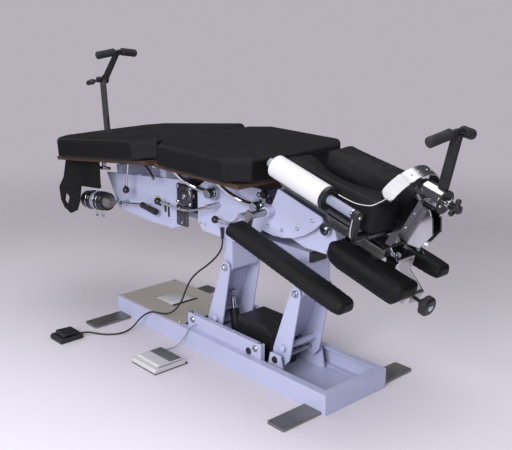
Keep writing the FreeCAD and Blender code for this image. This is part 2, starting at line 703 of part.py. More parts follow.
def tilted(thing):
    """Hangs a piece built in the head section's own frame on the tilt axis."""
    return turn_about_y(thing, s.tilt_angle, s.tilt_at, s.tilt_high)


def head_pieces():
    """Pieces drawn level, with the tilt axis at zero and the rails level below it."""
    drop = -s.head_drop
    inner, outer = s.sector_in, s.sector_in + s.sector_plate
    radius = s.sector_round
    rim = []
    for degrees in (-87, -77, -67, -57, -47, -37, -27.5):
        rim.append((cosine(degrees) * radius, sine(degrees) * radius))
    outline = plate([(48, -127)] + [(15, -306.6)] + rim + [(262, -127)], inner, outer)
    screws = [drum("y", (cosine(degrees) * (radius - 29), outer, sine(degrees) * (radius - 29)),
                   5, 3) for degrees in (-82, -67, -51, -34)]
    socket = cut(drum("y", (s.arm_tube_at, outer, s.arm_tube_high), 19, 34),
                 drum("y", (s.arm_tube_at, outer + 4, s.arm_tube_high), 12.8, 32))
    side = fuse(outline, socket, *screws)
    keep(tilted(both_sides(side)), "sector_plates")
    web = s.rail_web
    rail_out = outer
    channel = cut(box((48, s.head_far), (rail_out - web, rail_out), (drop, drop + s.rail_tall)),
                  box((47, s.head_far + 1), (rail_out - web + 4, rail_out + 1),
                      (drop + 4, drop + s.rail_tall - 4)))
    ties = [box((left, left + 20), (-70, 70), (drop, drop + 6)) for left in (60, 480)]
    rails = fuse(channel, mirrored(channel), *ties)
    strip = box((47, 284), (inner, outer + 1), (drop - 1, drop + s.rail_tall + 1))
    hooks = [box((left, left + 20), (-84, -50), (drop - 10, drop)) for left in (400, 490)]
    keep(tilted(fuse(cut(rails, strip, mirrored(strip)), *hooks)), "head_rails")
    board = fuse(box((110, 510), (-150, 150), (-62, -50)),
                 *[box((left, left + 30), (-80, 80), (drop + s.rail_tall, -62))
                   for left in (130, 430)])
    keep(tilted(board), "head_board")
    pad = plate([(100, -50), (520, -50), (524, 70), (300, 56), (108, 34)], 22, 165, "XZ", 18)
    keep(tilted(group(pad, mirrored(pad))), "face_pads")
    spindle = drum("x", (104, -215, 20), 15, 382)
    stub = box((480, 500), (-225, -205), (-60, 20))
    foot = box((480, 500), (-225, -150), (-62, -50))
    keep(tilted(fuse(cut(spindle, drum("x", (132, -215, 20), 17, 232)), stub, foot,
                     drum("x", (130, -215, 20), 11.6, 236))), "roll_spindle")
    roll = cut(drum("x", (135, -215, 20), 38, 226), drum("x", (134, -215, 20), 12, 228))
    keep(tilted(roll), "paper_roll")

    face = plate([(512, -136), (576, -136), (580, -128), (536, -96), (586, 92), (560, 100),
                  (512, -96)], -68, 68, "XZ", 2)
    hollow = plate([(524, -140), (600, -140), (600, 110), (592, 96), (540, -92), (524, -120)],
                   -64, 64)
    notch = drum("x", (500, 0, 96), 37.3, 120)
    keep(tilted(cut(face, hollow, notch)), "head_end_bracket")
    ears = [plate([(539.4, -84), (607, -70), (637, -6), (621, 37), (600, 60), (577.8, 60)],
                  edge, edge + 6) for edge in (-24, 18)]
    keep(tilted(fuse(turned([(30, 0), (37, 0), (37, 86), (30, 86)], (540, 0, 96), "x"), *ears)),
         "handle_barrel")
    keep(tilted(group(turned([(0, 0), (38, 0), (38, 6), (13, 6), (13, 30), (5, 30), (5, 38),
                              (0, 38)], (626.5, 0, 96), "x"))), "barrel_disc")
    post = plate([(594, 133.1), (624, 133.1), (615, 305), (586, 305)], -8, 8, "XZ", 3)
    stem = bar_between((600, -20, 312), (600, 20, 312), 9)
    arms = []
    grips = []
    for side in (-1, 1):
        inner_end, outer_end = Vector(600, side * 16, 312), Vector(583, side * 104, 283)
        run = (outer_end - inner_end).normalize()
        arms.append(bar_between(inner_end, outer_end, 8))
        grips.append(smooth_bar(inner_end + run * 12, outer_end + run * 6))
    keep(tilted(fuse(post, stem, *arms)), "head_post")
    keep(tilted(group(*grips)), "head_grips")
    star = [bar_between((672, 0, 96),
                        (672, 26 * math.cos(math.radians(a)), 96 + 26 * math.sin(math.radians(a))),
                        7) for a in (90, 210, 330)]
    keep(tilted(fuse(turned([(0, 0), (12, 0), (12, 16), (0, 16)], (667, 0, 96), "x"), *star)),
         "star_knob")
    fork = cut(plate([(520, -136), (560, -136), (560, -190), (632, -232), (622, -262),
                      (520, -206)], -45, 45, "XZ", 3),
               plate([(500, -140), (557, -140), (640, -250), (600, -285), (500, -230)], -41, 41))
    keep(tilted(fuse(fork, box((628, 634), (-20, 20), (-258, -228)))), "lower_bracket")
    flutes = [drum("x", (640, 38 * math.cos(k * math.pi / 4), -243 + 38 * math.sin(k * math.pi / 4)),
                   6, 60) for k in range(8)]
    knob = cut(turned([(0, 0), (6, 0), (6, 24), (14, 24), (14, 34), (33, 38), (33, 56), (26, 62),
                       (0, 62)], (634.3, 0, -243), "x"), *flutes)
    keep(tilted(knob), "tension_knob")
    bolster = plate([(354, -150.2), (652, -150.2), (670, -190), (640, -226), (376, -226),
                     (354, -200)], -150, -47, "XZ", 14)
    keep(tilted(bolster), "chest_bolster")
    keep(tilted(cut(paper_bow(), group(pad, mirrored(pad)))), "paper_strap")


def paper_bow():
    """A flat spring bow that stands on the face pads and leans towards the head end."""
    points = []
    for reach, degrees in ((s.bow_half, range(0, 181, 15)),
                           (s.bow_half - s.bow_thick, range(180, -1, -15))):
        height = s.bow_tall - s.bow_half + reach
        points += [(cosine(angle) * reach, sine(angle) * height) for angle in degrees]
    bow = plate(points, -s.bow_wide / 2, s.bow_wide / 2)
    turn = Rotation(Vector(0, 1, 0), float(s.tilt_angle)) * Rotation(Vector(0, 0, 1), 90)
    bow.Placement = Placement(Vector(0, 0, 0), turn)
    return stand(bow, (s.bow_at, 0, s.bow_foot), turn)


def armrest_pieces():
    """Swinging arms that carry the arm pads, in sockets on the sector plates."""
    out = s.armrest_out - s.armrest_half
    at, high = s.arm_tube_at, s.arm_tube_high
    tube = drum("y", (at, -out + 2, high), 12.5, out - s.sector_in - s.sector_plate - 6)
    post = plate([(at - 18, high - 62), (at + 18, high - 62), (at + 18, high + 16),
                  (at - 18, high + 16)], -out + 2, -out + 8, "XZ", 5)
    shelf = box((at - 18, at + 150), (-out - 60, -out + 2), (high - 62, high - 57))
    bracket = fuse(tube, post, shelf)
    keep(tilted(group(bracket)), "near_arm_bracket")
    keep(tilted(group(mirrored(bracket))), "far_arm_bracket")
    low = high - 56.7
    half = s.armrest_half
    section = plate([(at - 14, low), (at + s.armrest_long - 30, low),
                     (at + s.armrest_long - 10, low + 22), (at + s.armrest_long - 16, low + 44),
                     (at - 14, low + 44)], -s.armrest_out - half, -s.armrest_out + half,
                    "XZ", 8)
    keep(tilted(group(section)), "near_arm_pad")
    keep(tilted(group(mirrored(section))), "far_arm_pad")


def pedal(label, left, back, wide, long, height, lead_at, lead_high):
    """A foot switch: a low body with a lead collar and a sprung treadle hinged at its toe end."""
    foot = height * 0.6
    heel = s.pedal_bevel
    body = plate([(0, 0), (long, 0), (long, 12), (long - heel, foot), (heel, foot), (0, foot)],
                 left, left + wide, "XZ", 2)
    treadle = plate([(8, foot + 4), (long - 20, foot + 4), (long - 24, height),
                     (10, height - 4)], left + 8, left + wide - 8, "XZ", 2)
    hinge = drum("y", (long - 22, left + 12, foot + 4), 3.6, wide - 24)
    collar = drum("x", (-s.pedal_collar, lead_at, lead_high), 5, s.pedal_collar + 3)
    turn = Rotation(Vector(0, 0, 1), -90)
    for thing, name in ((fuse(body, collar), "_base"), (fuse(treadle, hinge), "_treadle")):
        thing.Placement = Placement(Vector(0, back, 0), turn)
        keep(thing, label + name)


def pedal_pieces():
    """Two foot switches on the floor with sprung treadles, and their leads."""
    pedal("black_pedal", -566, -423, 86, 101, 34, -503, 12)
    pedal("white_pedal", -157, -262, 150, 141, 30, -150, 8)
    keep(route([(12, -89, 471), (13.4, -89, 441), (-8, -95, 400), (-56, -107, 352),
                (-106, -114, 314), (-150, -121, 270), (-172, -130, 217), (-190, -142, 158),
                (-240, -154, 106), (-306, -162, 90), (-360, -168, 86), (-402, -192, 52),
                (-408, -230, 12), (-406, -286, 3.6), (-436, -336, 3.6), (-478, -362, 3.6),
                (-503, -392, 12), (-503, -413, 12)],
               3.5, "pedal cord"), "pedal_cord")
    keep(route([(-104, -127.5, 95), (-105, -144, 96), (-112, -162, 84), (-126, -170, 50),
                (-146, -188, 12), (-151, -214, 5), (-150, -238, 8), (-150, -252, 8)],
               2, "pedal cable"), "pedal_cable")


base_pieces()
lift_arm("foot_lift_arm", s.foot_pivot, True)
lift_arm("head_lift_arm", s.head_pivot, False)
ram_pieces()
chassis_pieces()
swing_pieces()
caudal_pieces()
carriage_pieces()
foot_handle_pieces()
head_pieces()
armrest_pieces()
pedal_pieces()
document.recompute()

failed = [thing.Name for thing in document.Objects
          if "Invalid" in thing.State or "Error" in thing.State]
if failed:
    raise RuntimeError("failed: " + ", ".join(failed))
os.makedirs("parts", exist_ok=True)
faulty = [thing.Label for thing in PARTS if thing.Shape.isNull() or not thing.Shape.isValid()]
if faulty:
    raise RuntimeError("no valid shape: " + ", ".join(faulty))
for thing in PARTS:
    thing.Shape.exportStep("parts/%s.step" % thing.Label)
print("%d pieces" % len(PARTS))
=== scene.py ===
import json
import math

import bmesh
import bpy
from bpy.props import FloatProperty, FloatVectorProperty, PointerProperty
from mathutils import Matrix, Vector, noise


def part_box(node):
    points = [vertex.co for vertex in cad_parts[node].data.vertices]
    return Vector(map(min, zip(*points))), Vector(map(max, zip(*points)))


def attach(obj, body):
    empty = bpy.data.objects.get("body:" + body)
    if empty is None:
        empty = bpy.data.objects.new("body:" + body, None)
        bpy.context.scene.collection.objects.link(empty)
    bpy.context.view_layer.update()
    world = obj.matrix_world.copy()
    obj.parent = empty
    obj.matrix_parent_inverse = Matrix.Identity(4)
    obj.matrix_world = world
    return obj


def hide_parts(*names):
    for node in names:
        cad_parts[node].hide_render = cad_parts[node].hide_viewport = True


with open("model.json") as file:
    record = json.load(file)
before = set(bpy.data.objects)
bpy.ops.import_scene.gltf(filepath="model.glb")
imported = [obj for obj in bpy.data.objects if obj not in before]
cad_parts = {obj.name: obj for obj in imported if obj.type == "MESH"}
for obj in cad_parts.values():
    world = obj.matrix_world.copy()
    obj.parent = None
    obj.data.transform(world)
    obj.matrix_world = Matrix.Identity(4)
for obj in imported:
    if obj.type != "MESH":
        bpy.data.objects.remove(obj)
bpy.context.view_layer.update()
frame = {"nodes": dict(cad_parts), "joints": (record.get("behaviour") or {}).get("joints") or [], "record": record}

bl_info = {
    "name": "Flexion Table Dressing",
    "version": (1, 0, 0),
    "blender": (4, 5, 0),
    "location": "3D View > Sidebar > Table",
    "description": "Upholstery, finishes, fittings and cords for a flexion-distraction table",
    "category": "Object",
}

JOINTS = {joint["name"]: joint for joint in frame["joints"]}
HEAD_TILT = 15.5
FOOT_TILT = -7.0
HEAD = (Matrix.Translation(JOINTS["head_tilt"]["pos_m"])
        @ Matrix.Rotation(math.radians(HEAD_TILT), 4, "Y"))
THORAX_LOW, THORAX_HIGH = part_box("thoracic_cushion")
CUSHION_GAP = 0.020
FOOT = (Matrix.Translation((THORAX_LOW.x - CUSHION_GAP, 0, THORAX_HIGH.z))
        @ Matrix.Rotation(math.radians(FOOT_TILT), 4, "Y"))
LEVEL = Matrix.Identity(4)


class TableSizes(bpy.types.PropertyGroup):
    """Sizes of the soft and fine pieces."""

    crown: FloatProperty(name="Cushion crown", unit="LENGTH", default=0.007,
                         description="Rise of a cushion's top above its seam")
    side_pull: FloatProperty(name="Side pull", unit="LENGTH", default=0.004,
                             description="How far a cushion's side draws in between corners")
    seam_depth: FloatProperty(name="Seam depth", unit="LENGTH", default=0.0022,
                              description="Depth of a sewn seam in the vinyl")
    seam_width: FloatProperty(name="Seam width", unit="LENGTH", default=0.0040,
                              description="Width over which the vinyl dips into a seam")
    seam_bend: FloatProperty(name="Seam bend", unit="LENGTH", default=0.055,
                             description="Radius of a side panel's seam near a corner")
    rolled_edge: FloatProperty(name="Rolled edge", unit="LENGTH", default=0.021,
                               description="Radius of a cushion's rolled top edge")
    seam_drop: FloatProperty(name="Seam drop", unit="LENGTH", default=0.023,
                             description="Height of the cushion's top panel above its seam")
    cover_mesh: FloatProperty(name="Cover mesh", unit="LENGTH", default=0.006,
                              description="Size of the faces of a pad's cover as it swells")
    filling_pressure: FloatProperty(name="Filling pressure", default=4.0,
                                    description="Pressure of the filling on a pad's cover")
    swell_cap: FloatProperty(name="Swell cap", unit="LENGTH", default=0.0035,
                             description="How far a pad's cover may swell")
    grip_radius: FloatProperty(name="Grip radius", unit="LENGTH", default=0.017,
                               description="Radius of the foam hand grips")
    ball_radius: FloatProperty(name="Ball radius", unit="LENGTH", default=0.0146,
                               description="Radius of the levers' ball knobs")
    paper_radius: FloatProperty(name="Paper radius", unit="LENGTH", default=0.038,
                                description="Radius of the paper roll")
    cord_diameter: FloatProperty(name="Cord diameter", unit="LENGTH", default=0.007,
                                 description="Diameter of the black foot switch's cord")
    cable_diameter: FloatProperty(name="Cable diameter", unit="LENGTH", default=0.004,
                                  description="Diameter of the white foot switch's cable")


class TableColours(bpy.types.PropertyGroup):
    """Colours of the finishes."""

    paint: FloatVectorProperty(name="Paint", subtype="COLOR", default=(0.42, 0.44, 0.62),
                               description="Pale lavender enamel on the steel frame")
    plate: FloatVectorProperty(name="Cover plate", subtype="COLOR", default=(0.40, 0.37, 0.33),
                               description="Beige coat on the base's cover plate")
    vinyl: FloatVectorProperty(name="Vinyl", subtype="COLOR", default=(0.0036, 0.0038, 0.0050),
                               description="Black upholstery vinyl")
    foam: FloatVectorProperty(name="Foam", subtype="COLOR", default=(0.007, 0.007, 0.010),
                              description="Black foam of the hand grips")
    plastic: FloatVectorProperty(name="Black plastic", subtype="COLOR",
                                 default=(0.006, 0.006, 0.008),
                                 description="Moulded knobs, caps and the power unit's cover")
    grey: FloatVectorProperty(name="Grey plastic", subtype="COLOR", default=(0.22, 0.235, 0.32),
                              description="Spindle tube and motor housing")
    white: FloatVectorProperty(name="White plastic", subtype="COLOR", default=(0.50, 0.50, 0.52),
                               description="White foot switch and paper holder")
    board: FloatVectorProperty(name="Board", subtype="COLOR", default=(0.034, 0.015, 0.008),
                               description="Brown plywood under the cushions")
    # Painted shade: the floor's darker colour away from the camera, where the lamps' light falls off.
    backdrop: FloatVectorProperty(name="Backdrop", subtype="COLOR", default=(0.42, 0.39, 0.43),
                                  description="Studio floor behind the table")
    air: FloatVectorProperty(name="Air", subtype="COLOR", default=(0.470, 0.437, 0.498),
                             description="Studio backdrop all round the table")
    # Painted light: the floor's paler colour near the camera.
    floor: FloatVectorProperty(name="Floor", subtype="COLOR", default=(0.64, 0.62, 0.68),
                               description="Studio floor in front of the table")


# Node trees

def node(tree, kind, inputs=None, **settings):
    """Adds a node, sets its properties, and sets or links its inputs by name or number."""
    made = tree.nodes.new(kind)
    for key, value in settings.items():
        setattr(made, key, value)
    for key, value in (inputs or {}).items():
        if isinstance(value, bpy.types.NodeSocket):
            tree.links.new(value, made.inputs[key])
        else:
            made.inputs[key].default_value = value
    return made


def shader_group(name, inputs, outputs, build):
    """A node group with named inputs (kind, default) and named outputs, filled by build."""
    tree = bpy.data.node_groups.new(name, "ShaderNodeTree")
    for label, (kind, default) in inputs.items():
        socket = tree.interface.new_socket(label, in_out="INPUT", socket_type=kind)
        socket.default_value = default
    for label, kind in outputs.items():
        tree.interface.new_socket(label, in_out="OUTPUT", socket_type=kind)
    given = node(tree, "NodeGroupInput").outputs
    made = build(tree, given)
    result = node(tree, "NodeGroupOutput")
    for label, socket in made.items():
        tree.links.new(socket, result.inputs[label])
    return tree


FLOAT = "NodeSocketFloat"
COLOUR = "NodeSocketColor"
DIRECTION = "NodeSocketVector"


def maths(tree, operation, first, second=0.0):
    """The value of one sum."""
    return node(tree, "ShaderNodeMath", {0: first, 1: second}, operation=operation).outputs[0]


def mixed(tree, factor, first, second, blend="MIX"):
    """A blend of two colours."""
    made = node(tree, "ShaderNodeMix", {0: factor, 6: first, 7: second},
                data_type="RGBA", blend_type=blend)
    return made.outputs[2]


def remap(tree, value, low, high, to_low=0.0, to_high=1.0):
    """A value moved from one range to another."""
    made = node(tree, "ShaderNodeMapRange", {0: value, 1: low, 2: high, 3: to_low, 4: to_high})
    return made.outputs[0]


def place_of(tree, stretch=(1, 1, 1)):
    """Coordinates fixed to the piece, stretched along its axes."""
    at = node(tree, "ShaderNodeTexCoord").outputs["Object"]
    return node(tree, "ShaderNodeMapping", {"Vector": at, "Scale": stretch}).outputs[0]


def build_mottle(tree, given):
    """Cloudy darker patches and fine dust over a colour."""
    at = place_of(tree)
    broad = node(tree, "ShaderNodeTexNoise", {"Vector": at, "Scale": given["Scale"], "Detail": 5})
    fine = node(tree, "ShaderNodeTexNoise", {"Vector": at, "Scale": 420, "Detail": 3})
    blotch = remap(tree, broad.outputs[0], 0.3, 0.7)
    speck = remap(tree, fine.outputs[0], 0.45, 0.75)
    darker = mixed(tree, maths(tree, "MULTIPLY", blotch, given["Amount"]),
                   given["Color"], (0.45, 0.43, 0.42, 1), "MULTIPLY")
    dust = maths(tree, "MULTIPLY", given["Amount"], 0.35)
    dusty = mixed(tree, maths(tree, "MULTIPLY", speck, dust), darker, (0.55, 0.53, 0.50, 1))
    return {"Color": dusty, "Mask": blotch}


def build_edges(tree, given):
    """Softened edges, and a mask of the chips along them."""
    soft = node(tree, "ShaderNodeBevel", {"Radius": given["Radius"]}, samples=6).outputs[0]
    flat = node(tree, "ShaderNodeNewGeometry").outputs["True Normal"]
    along = node(tree, "ShaderNodeVectorMath", {0: soft, 1: flat}, operation="DOT_PRODUCT")
    near = remap(tree, along.outputs["Value"], 0.995, 0.93)
    at = place_of(tree)
    chips = node(tree, "ShaderNodeTexNoise", {"Vector": at, "Scale": 90, "Detail": 4})
    worn = maths(tree, "MULTIPLY", near, remap(tree, chips.outputs[0], 0.42, 0.62))
    return {"Normal": soft, "Mask": worn}


def build_leather(tree, given):
    """Pebbled vinyl with broad soft creases."""
    at = place_of(tree)
    noisy = node(tree, "ShaderNodeTexNoise", {"Vector": at, "Scale": 300, "Detail": 2})
    bend = node(tree, "ShaderNodeVectorMath", {0: noisy.outputs["Color"], "Scale": 0.002},
                operation="SCALE")
    moved = node(tree, "ShaderNodeVectorMath", {0: at, 1: bend.outputs[0]}, operation="ADD")
    cells = node(tree, "ShaderNodeTexVoronoi", {"Vector": moved.outputs[0],
                                                "Scale": given["Scale"]},
                 feature="DISTANCE_TO_EDGE")
    pebble = remap(tree, cells.outputs["Distance"], 0.0, 0.28)
    creases = node(tree, "ShaderNodeTexNoise", {"Vector": at, "Scale": 34, "Detail": 5,
                                                "Distortion": 0.8})
    height = maths(tree, "ADD", maths(tree, "MULTIPLY", pebble, 0.35), creases.outputs[0])
    return {"Height": height, "Mask": pebble}


def build_brushed(tree, given):
    """Fine lines along the rolling direction, and smears."""
    at = node(tree, "ShaderNodeTexCoord").outputs["Object"]
    stretched = node(tree, "ShaderNodeVectorMath", {0: at, 1: given["Stretch"]},
                     operation="MULTIPLY")
    lines = node(tree, "ShaderNodeTexNoise", {"Vector": stretched.outputs[0], "Scale": 1,
                                              "Detail": 4, "Roughness": 0.7})
    smears = node(tree, "ShaderNodeTexNoise", {"Vector": at, "Scale": 14, "Detail": 4})
    mask = remap(tree, smears.outputs[0], 0.35, 0.7)
    return {"Height": lines.outputs[0], "Mask": mask}


def build_cells(tree, given):
    """The open pores of foam."""
    at = place_of(tree)
    pores = node(tree, "ShaderNodeTexVoronoi", {"Vector": at, "Scale": given["Scale"]})
    rough = node(tree, "ShaderNodeTexNoise", {"Vector": at, "Scale": 160, "Detail": 4})
    height = maths(tree, "ADD", pores.outputs["Distance"], rough.outputs[0])
    return {"Height": height, "Mask": remap(tree, pores.outputs["Distance"], 0.1, 0.6)}


def build_weave(tree, given):
    """Crossing threads of webbing."""
    at = place_of(tree)
    split = node(tree, "ShaderNodeSeparateXYZ", {0: at})
    warp = maths(tree, "SINE", maths(tree, "MULTIPLY", split.outputs[0], given["Scale"]))
    weft = maths(tree, "SINE", maths(tree, "MULTIPLY", split.outputs[2], given["Scale"]))
    height = maths(tree, "MULTIPLY", warp, weft)
    return {"Height": height, "Mask": remap(tree, height, -1.0, 1.0)}


def build_grain(tree, given):
    """Wood grain, and the layers of plywood."""
    at = place_of(tree, (6, 60, 60))
    rings = node(tree, "ShaderNodeTexNoise", {"Vector": at, "Scale": 1.6, "Detail": 7,
                                              "Distortion": 0.4})
    plies = node(tree, "ShaderNodeTexWave", {"Vector": place_of(tree), "Scale": given["Scale"],
                                             "Distortion": 0.3}, bands_direction="Z")
    return {"Height": rings.outputs[0], "Mask": plies.outputs["Fac"]}


# The effects by name, filled by make_groups.
GROUPS = {}


def make_groups():
    """The effects that several finishes share."""
    plan = {
        "Mottle": ({"Color": (COLOUR, (0.5, 0.5, 0.5, 1)), "Scale": (FLOAT, 6.0),
                    "Amount": (FLOAT, 0.15)}, {"Color": COLOUR, "Mask": FLOAT}, build_mottle),
        "Edges": ({"Radius": (FLOAT, 0.002)}, {"Normal": DIRECTION, "Mask": FLOAT}, build_edges),
        "Leather": ({"Scale": (FLOAT, 700.0)}, {"Height": FLOAT, "Mask": FLOAT}, build_leather),
        "Brushed": ({"Stretch": (DIRECTION, (60, 900, 900))}, {"Height": FLOAT, "Mask": FLOAT},
                    build_brushed),
        "Cells": ({"Scale": (FLOAT, 900.0)}, {"Height": FLOAT, "Mask": FLOAT}, build_cells),
        "Weave": ({"Scale": (FLOAT, 2600.0)}, {"Height": FLOAT, "Mask": FLOAT}, build_weave),
        "Grain": ({"Scale": (FLOAT, 90.0)}, {"Height": FLOAT, "Mask": FLOAT}, build_grain),
    }
    for name, (inputs, outputs, build) in plan.items():
        GROUPS[name] = shader_group("Table " + name, inputs, outputs, build)


def effect(tree, name, **inputs):
    """Places a shared effect in a material."""
    return node(tree, "ShaderNodeGroup", inputs, node_tree=GROUPS[name]).outputs


def four(colour):
    """A colour with full alpha."""
    return (*colour, 1.0)


class Finish:
    """A material with a Principled shader, a mottled colour and softened edges."""

    def __init__(self, name, colour, rough, metallic=0.0, mottle=0.12, mottle_scale=6.0,
                 edge=0.0015, **uniform):
        self.material = bpy.data.materials.new(name)
        self.material.use_nodes = True
        self.material.diffuse_color = four(colour)
        self.tree = self.material.node_tree
        self.shader = self.tree.nodes["Principled BSDF"]
        self.edges = effect(self.tree, "Edges", Radius=edge)
        base = effect(self.tree, "Mottle", Color=four(colour), Scale=mottle_scale, Amount=mottle)
        self.colour = base["Color"]
        self.link("Base Color", self.colour)
        self.link("Roughness", remap(self.tree, base["Mask"], 0, 1, rough * 0.85, rough * 1.2))
        self.link("Normal", self.edges["Normal"])
        self.shader.inputs["Metallic"].default_value = metallic
        for key, value in uniform.items():
            self.shader.inputs[key.replace("_", " ")].default_value = value

    def link(self, label, socket):
        """Feeds an input of the shader."""
        self.tree.links.new(socket, self.shader.inputs[label])

    def bump(self, height, depth, strength=1.0):
        """Raises the surface by a height, given in metres for a height of one."""
        made = node(self.tree, "ShaderNodeBump",
                    {"Height": height, "Distance": depth, "Strength": strength,
                     "Normal": self.edges["Normal"]})
        self.link("Normal", made.outputs[0])

    def worn(self, colour, amount=1.0):
        """Shows another colour through along worn edges."""
        mask = maths(self.tree, "MULTIPLY", self.edges["Mask"], amount)
        self.colour = mixed(self.tree, mask, self.colour, four(colour))
        self.link("Base Color", self.colour)

    def tinted(self, mask, colour):
        """Mixes in another colour by a mask."""
        self.colour = mixed(self.tree, mask, self.colour, four(colour))
        self.link("Base Color", self.colour)


# The finishes by name, filled by make_finishes.
FINISHES = {}


def painted(name, colour):
    """Enamel with a slight orange peel and chipped edges."""
    finish = Finish(name, colour, 0.34, mottle=0.10, Coat_Weight=0.25, Coat_Roughness=0.2)
    peel = node(finish.tree, "ShaderNodeTexNoise",
                {"Vector": place_of(finish.tree), "Scale": 260, "Detail": 2})
    finish.bump(peel.outputs[0], 0.0002, 0.6)
    finish.worn((0.30, 0.31, 0.36), 0.5)
    return finish


def bright_metal(name, colour, rough, stretch=(40, 700, 700), depth=0.00008):
    """Bare or plated metal with brushed lines and darker smears."""
    finish = Finish(name, colour, rough, metallic=1.0, mottle=0.10, mottle_scale=18)
    lines = effect(finish.tree, "Brushed", Stretch=stretch)
    finish.bump(lines["Height"], depth)
    finish.tinted(maths(finish.tree, "MULTIPLY", lines["Mask"], 0.25),
                  [part * 0.6 for part in colour])
    return finish


def moulded(name, colour, rough=0.42, depth=0.0001):
    """Moulded plastic or rubber with a fine grain."""
    finish = Finish(name, colour, rough, mottle=0.10, mottle_scale=30)
    grain = node(finish.tree, "ShaderNodeTexNoise",
                 {"Vector": place_of(finish.tree), "Scale": 1300, "Detail": 2})
    finish.bump(grain.outputs[0], depth)
    finish.worn([min(1.0, part * 2.5 + 0.01) for part in colour], 0.5)
    return finish


def upholstery(name, colour):
    """Vinyl with a leather grain."""
    finish = Finish(name, colour, 0.38, mottle=0.06, mottle_scale=9, edge=0.001,
                    Specular_IOR_Level=0.16)
    skin = effect(finish.tree, "Leather", Scale=620.0)
    finish.bump(skin["Height"], 0.0007)
    finish.tinted(maths(finish.tree, "MULTIPLY", skin["Mask"], 0.35),
                  [part * 1.6 for part in colour])
    return finish


def make_finishes(colours):
    """One material for each slot of the record, and a few for fine pieces."""
    FINISHES["grey_paint"] = painted("Lavender enamel", colours.paint)
    FINISHES["beige_plate"] = painted("Beige enamel", colours.plate)
    FINISHES["bare_steel"] = bright_metal("Stainless steel", (0.42, 0.42, 0.43), 0.27)
    FINISHES["chrome"] = bright_metal("Chrome", (0.60, 0.60, 0.63), 0.14, depth=0.00002)
    # Painted reflection: polished steel given a dark colour, so that the head-end bracket looks as if it reflects
    # dark surroundings.
    FINISHES["dark_reflection_steel"] = bright_metal("Steel with painted dark reflection", (0.11, 0.11, 0.12), 0.14,
                                            depth=0.00003)
    FINISHES["zinc"] = bright_metal("Zinc plate", (0.52, 0.57, 0.62), 0.20,
                                    (200, 200, 200), 0.00006)
    FINISHES["dark_steel"] = bright_metal("Dark steel", (0.14, 0.14, 0.16), 0.38)
    FINISHES["worn_steel"] = bright_metal("Worn steel", (0.30, 0.295, 0.285), 0.50,
                                          (30, 500, 500), 0.0002)
    FINISHES["black_vinyl"] = upholstery("Black vinyl", colours.vinyl)
    foam = Finish("Black foam", colours.foam, 0.85, mottle=0.08, mottle_scale=40,
                  Sheen_Weight=0.03)
    pores = effect(foam.tree, "Cells", Scale=800.0)
    foam.bump(pores["Height"], 0.0006)
    foam.tinted(maths(foam.tree, "MULTIPLY", pores["Mask"], 0.4), (0.02, 0.02, 0.027))
    FINISHES["black_foam"] = foam
    FINISHES["black_plastic"] = moulded("Black plastic", colours.plastic)
    FINISHES["white_plastic"] = moulded("White plastic", colours.white, 0.36)
    FINISHES["grey_plastic"] = moulded("Grey plastic", colours.grey, 0.34)
    FINISHES["green_plastic"] = moulded("Green plastic", (0.30, 0.42, 0.03))
    FINISHES["dark_rubber"] = moulded("Ribbed rubber", (0.075, 0.078, 0.085), 0.7, 0.0003)
    board = Finish("Plywood board", colours.board, 0.5, mottle=0.2, mottle_scale=12)
    plies = effect(board.tree, "Grain", Scale=110.0)
    board.bump(plies["Height"], 0.0004)
    board.tinted(maths(board.tree, "MULTIPLY", plies["Mask"], 0.35), (0.14, 0.07, 0.035))
    FINISHES["brown_board"] = board
    paper = Finish("Paper", (0.56, 0.56, 0.58), 0.75, mottle=0.03, mottle_scale=50)
    fibre = effect(paper.tree, "Brushed", Stretch=(300, 500, 500))
    paper.bump(fibre["Height"], 0.00025)
    FINISHES["paper"] = paper
    webbing = Finish("Webbing", (0.003, 0.003, 0.0035), 0.85, mottle=0.15,
                     Specular_IOR_Level=0.15)
    weave = effect(webbing.tree, "Weave", Scale=2600.0)
    webbing.bump(weave["Height"], 0.0004)
    webbing.tinted(maths(webbing.tree, "MULTIPLY", weave["Mask"], 0.4), (0.007, 0.007, 0.008))
    FINISHES["webbing"] = webbing


def finish_of(name):
    """The material of a finish."""
    return FINISHES[name].material


# Mesh pieces

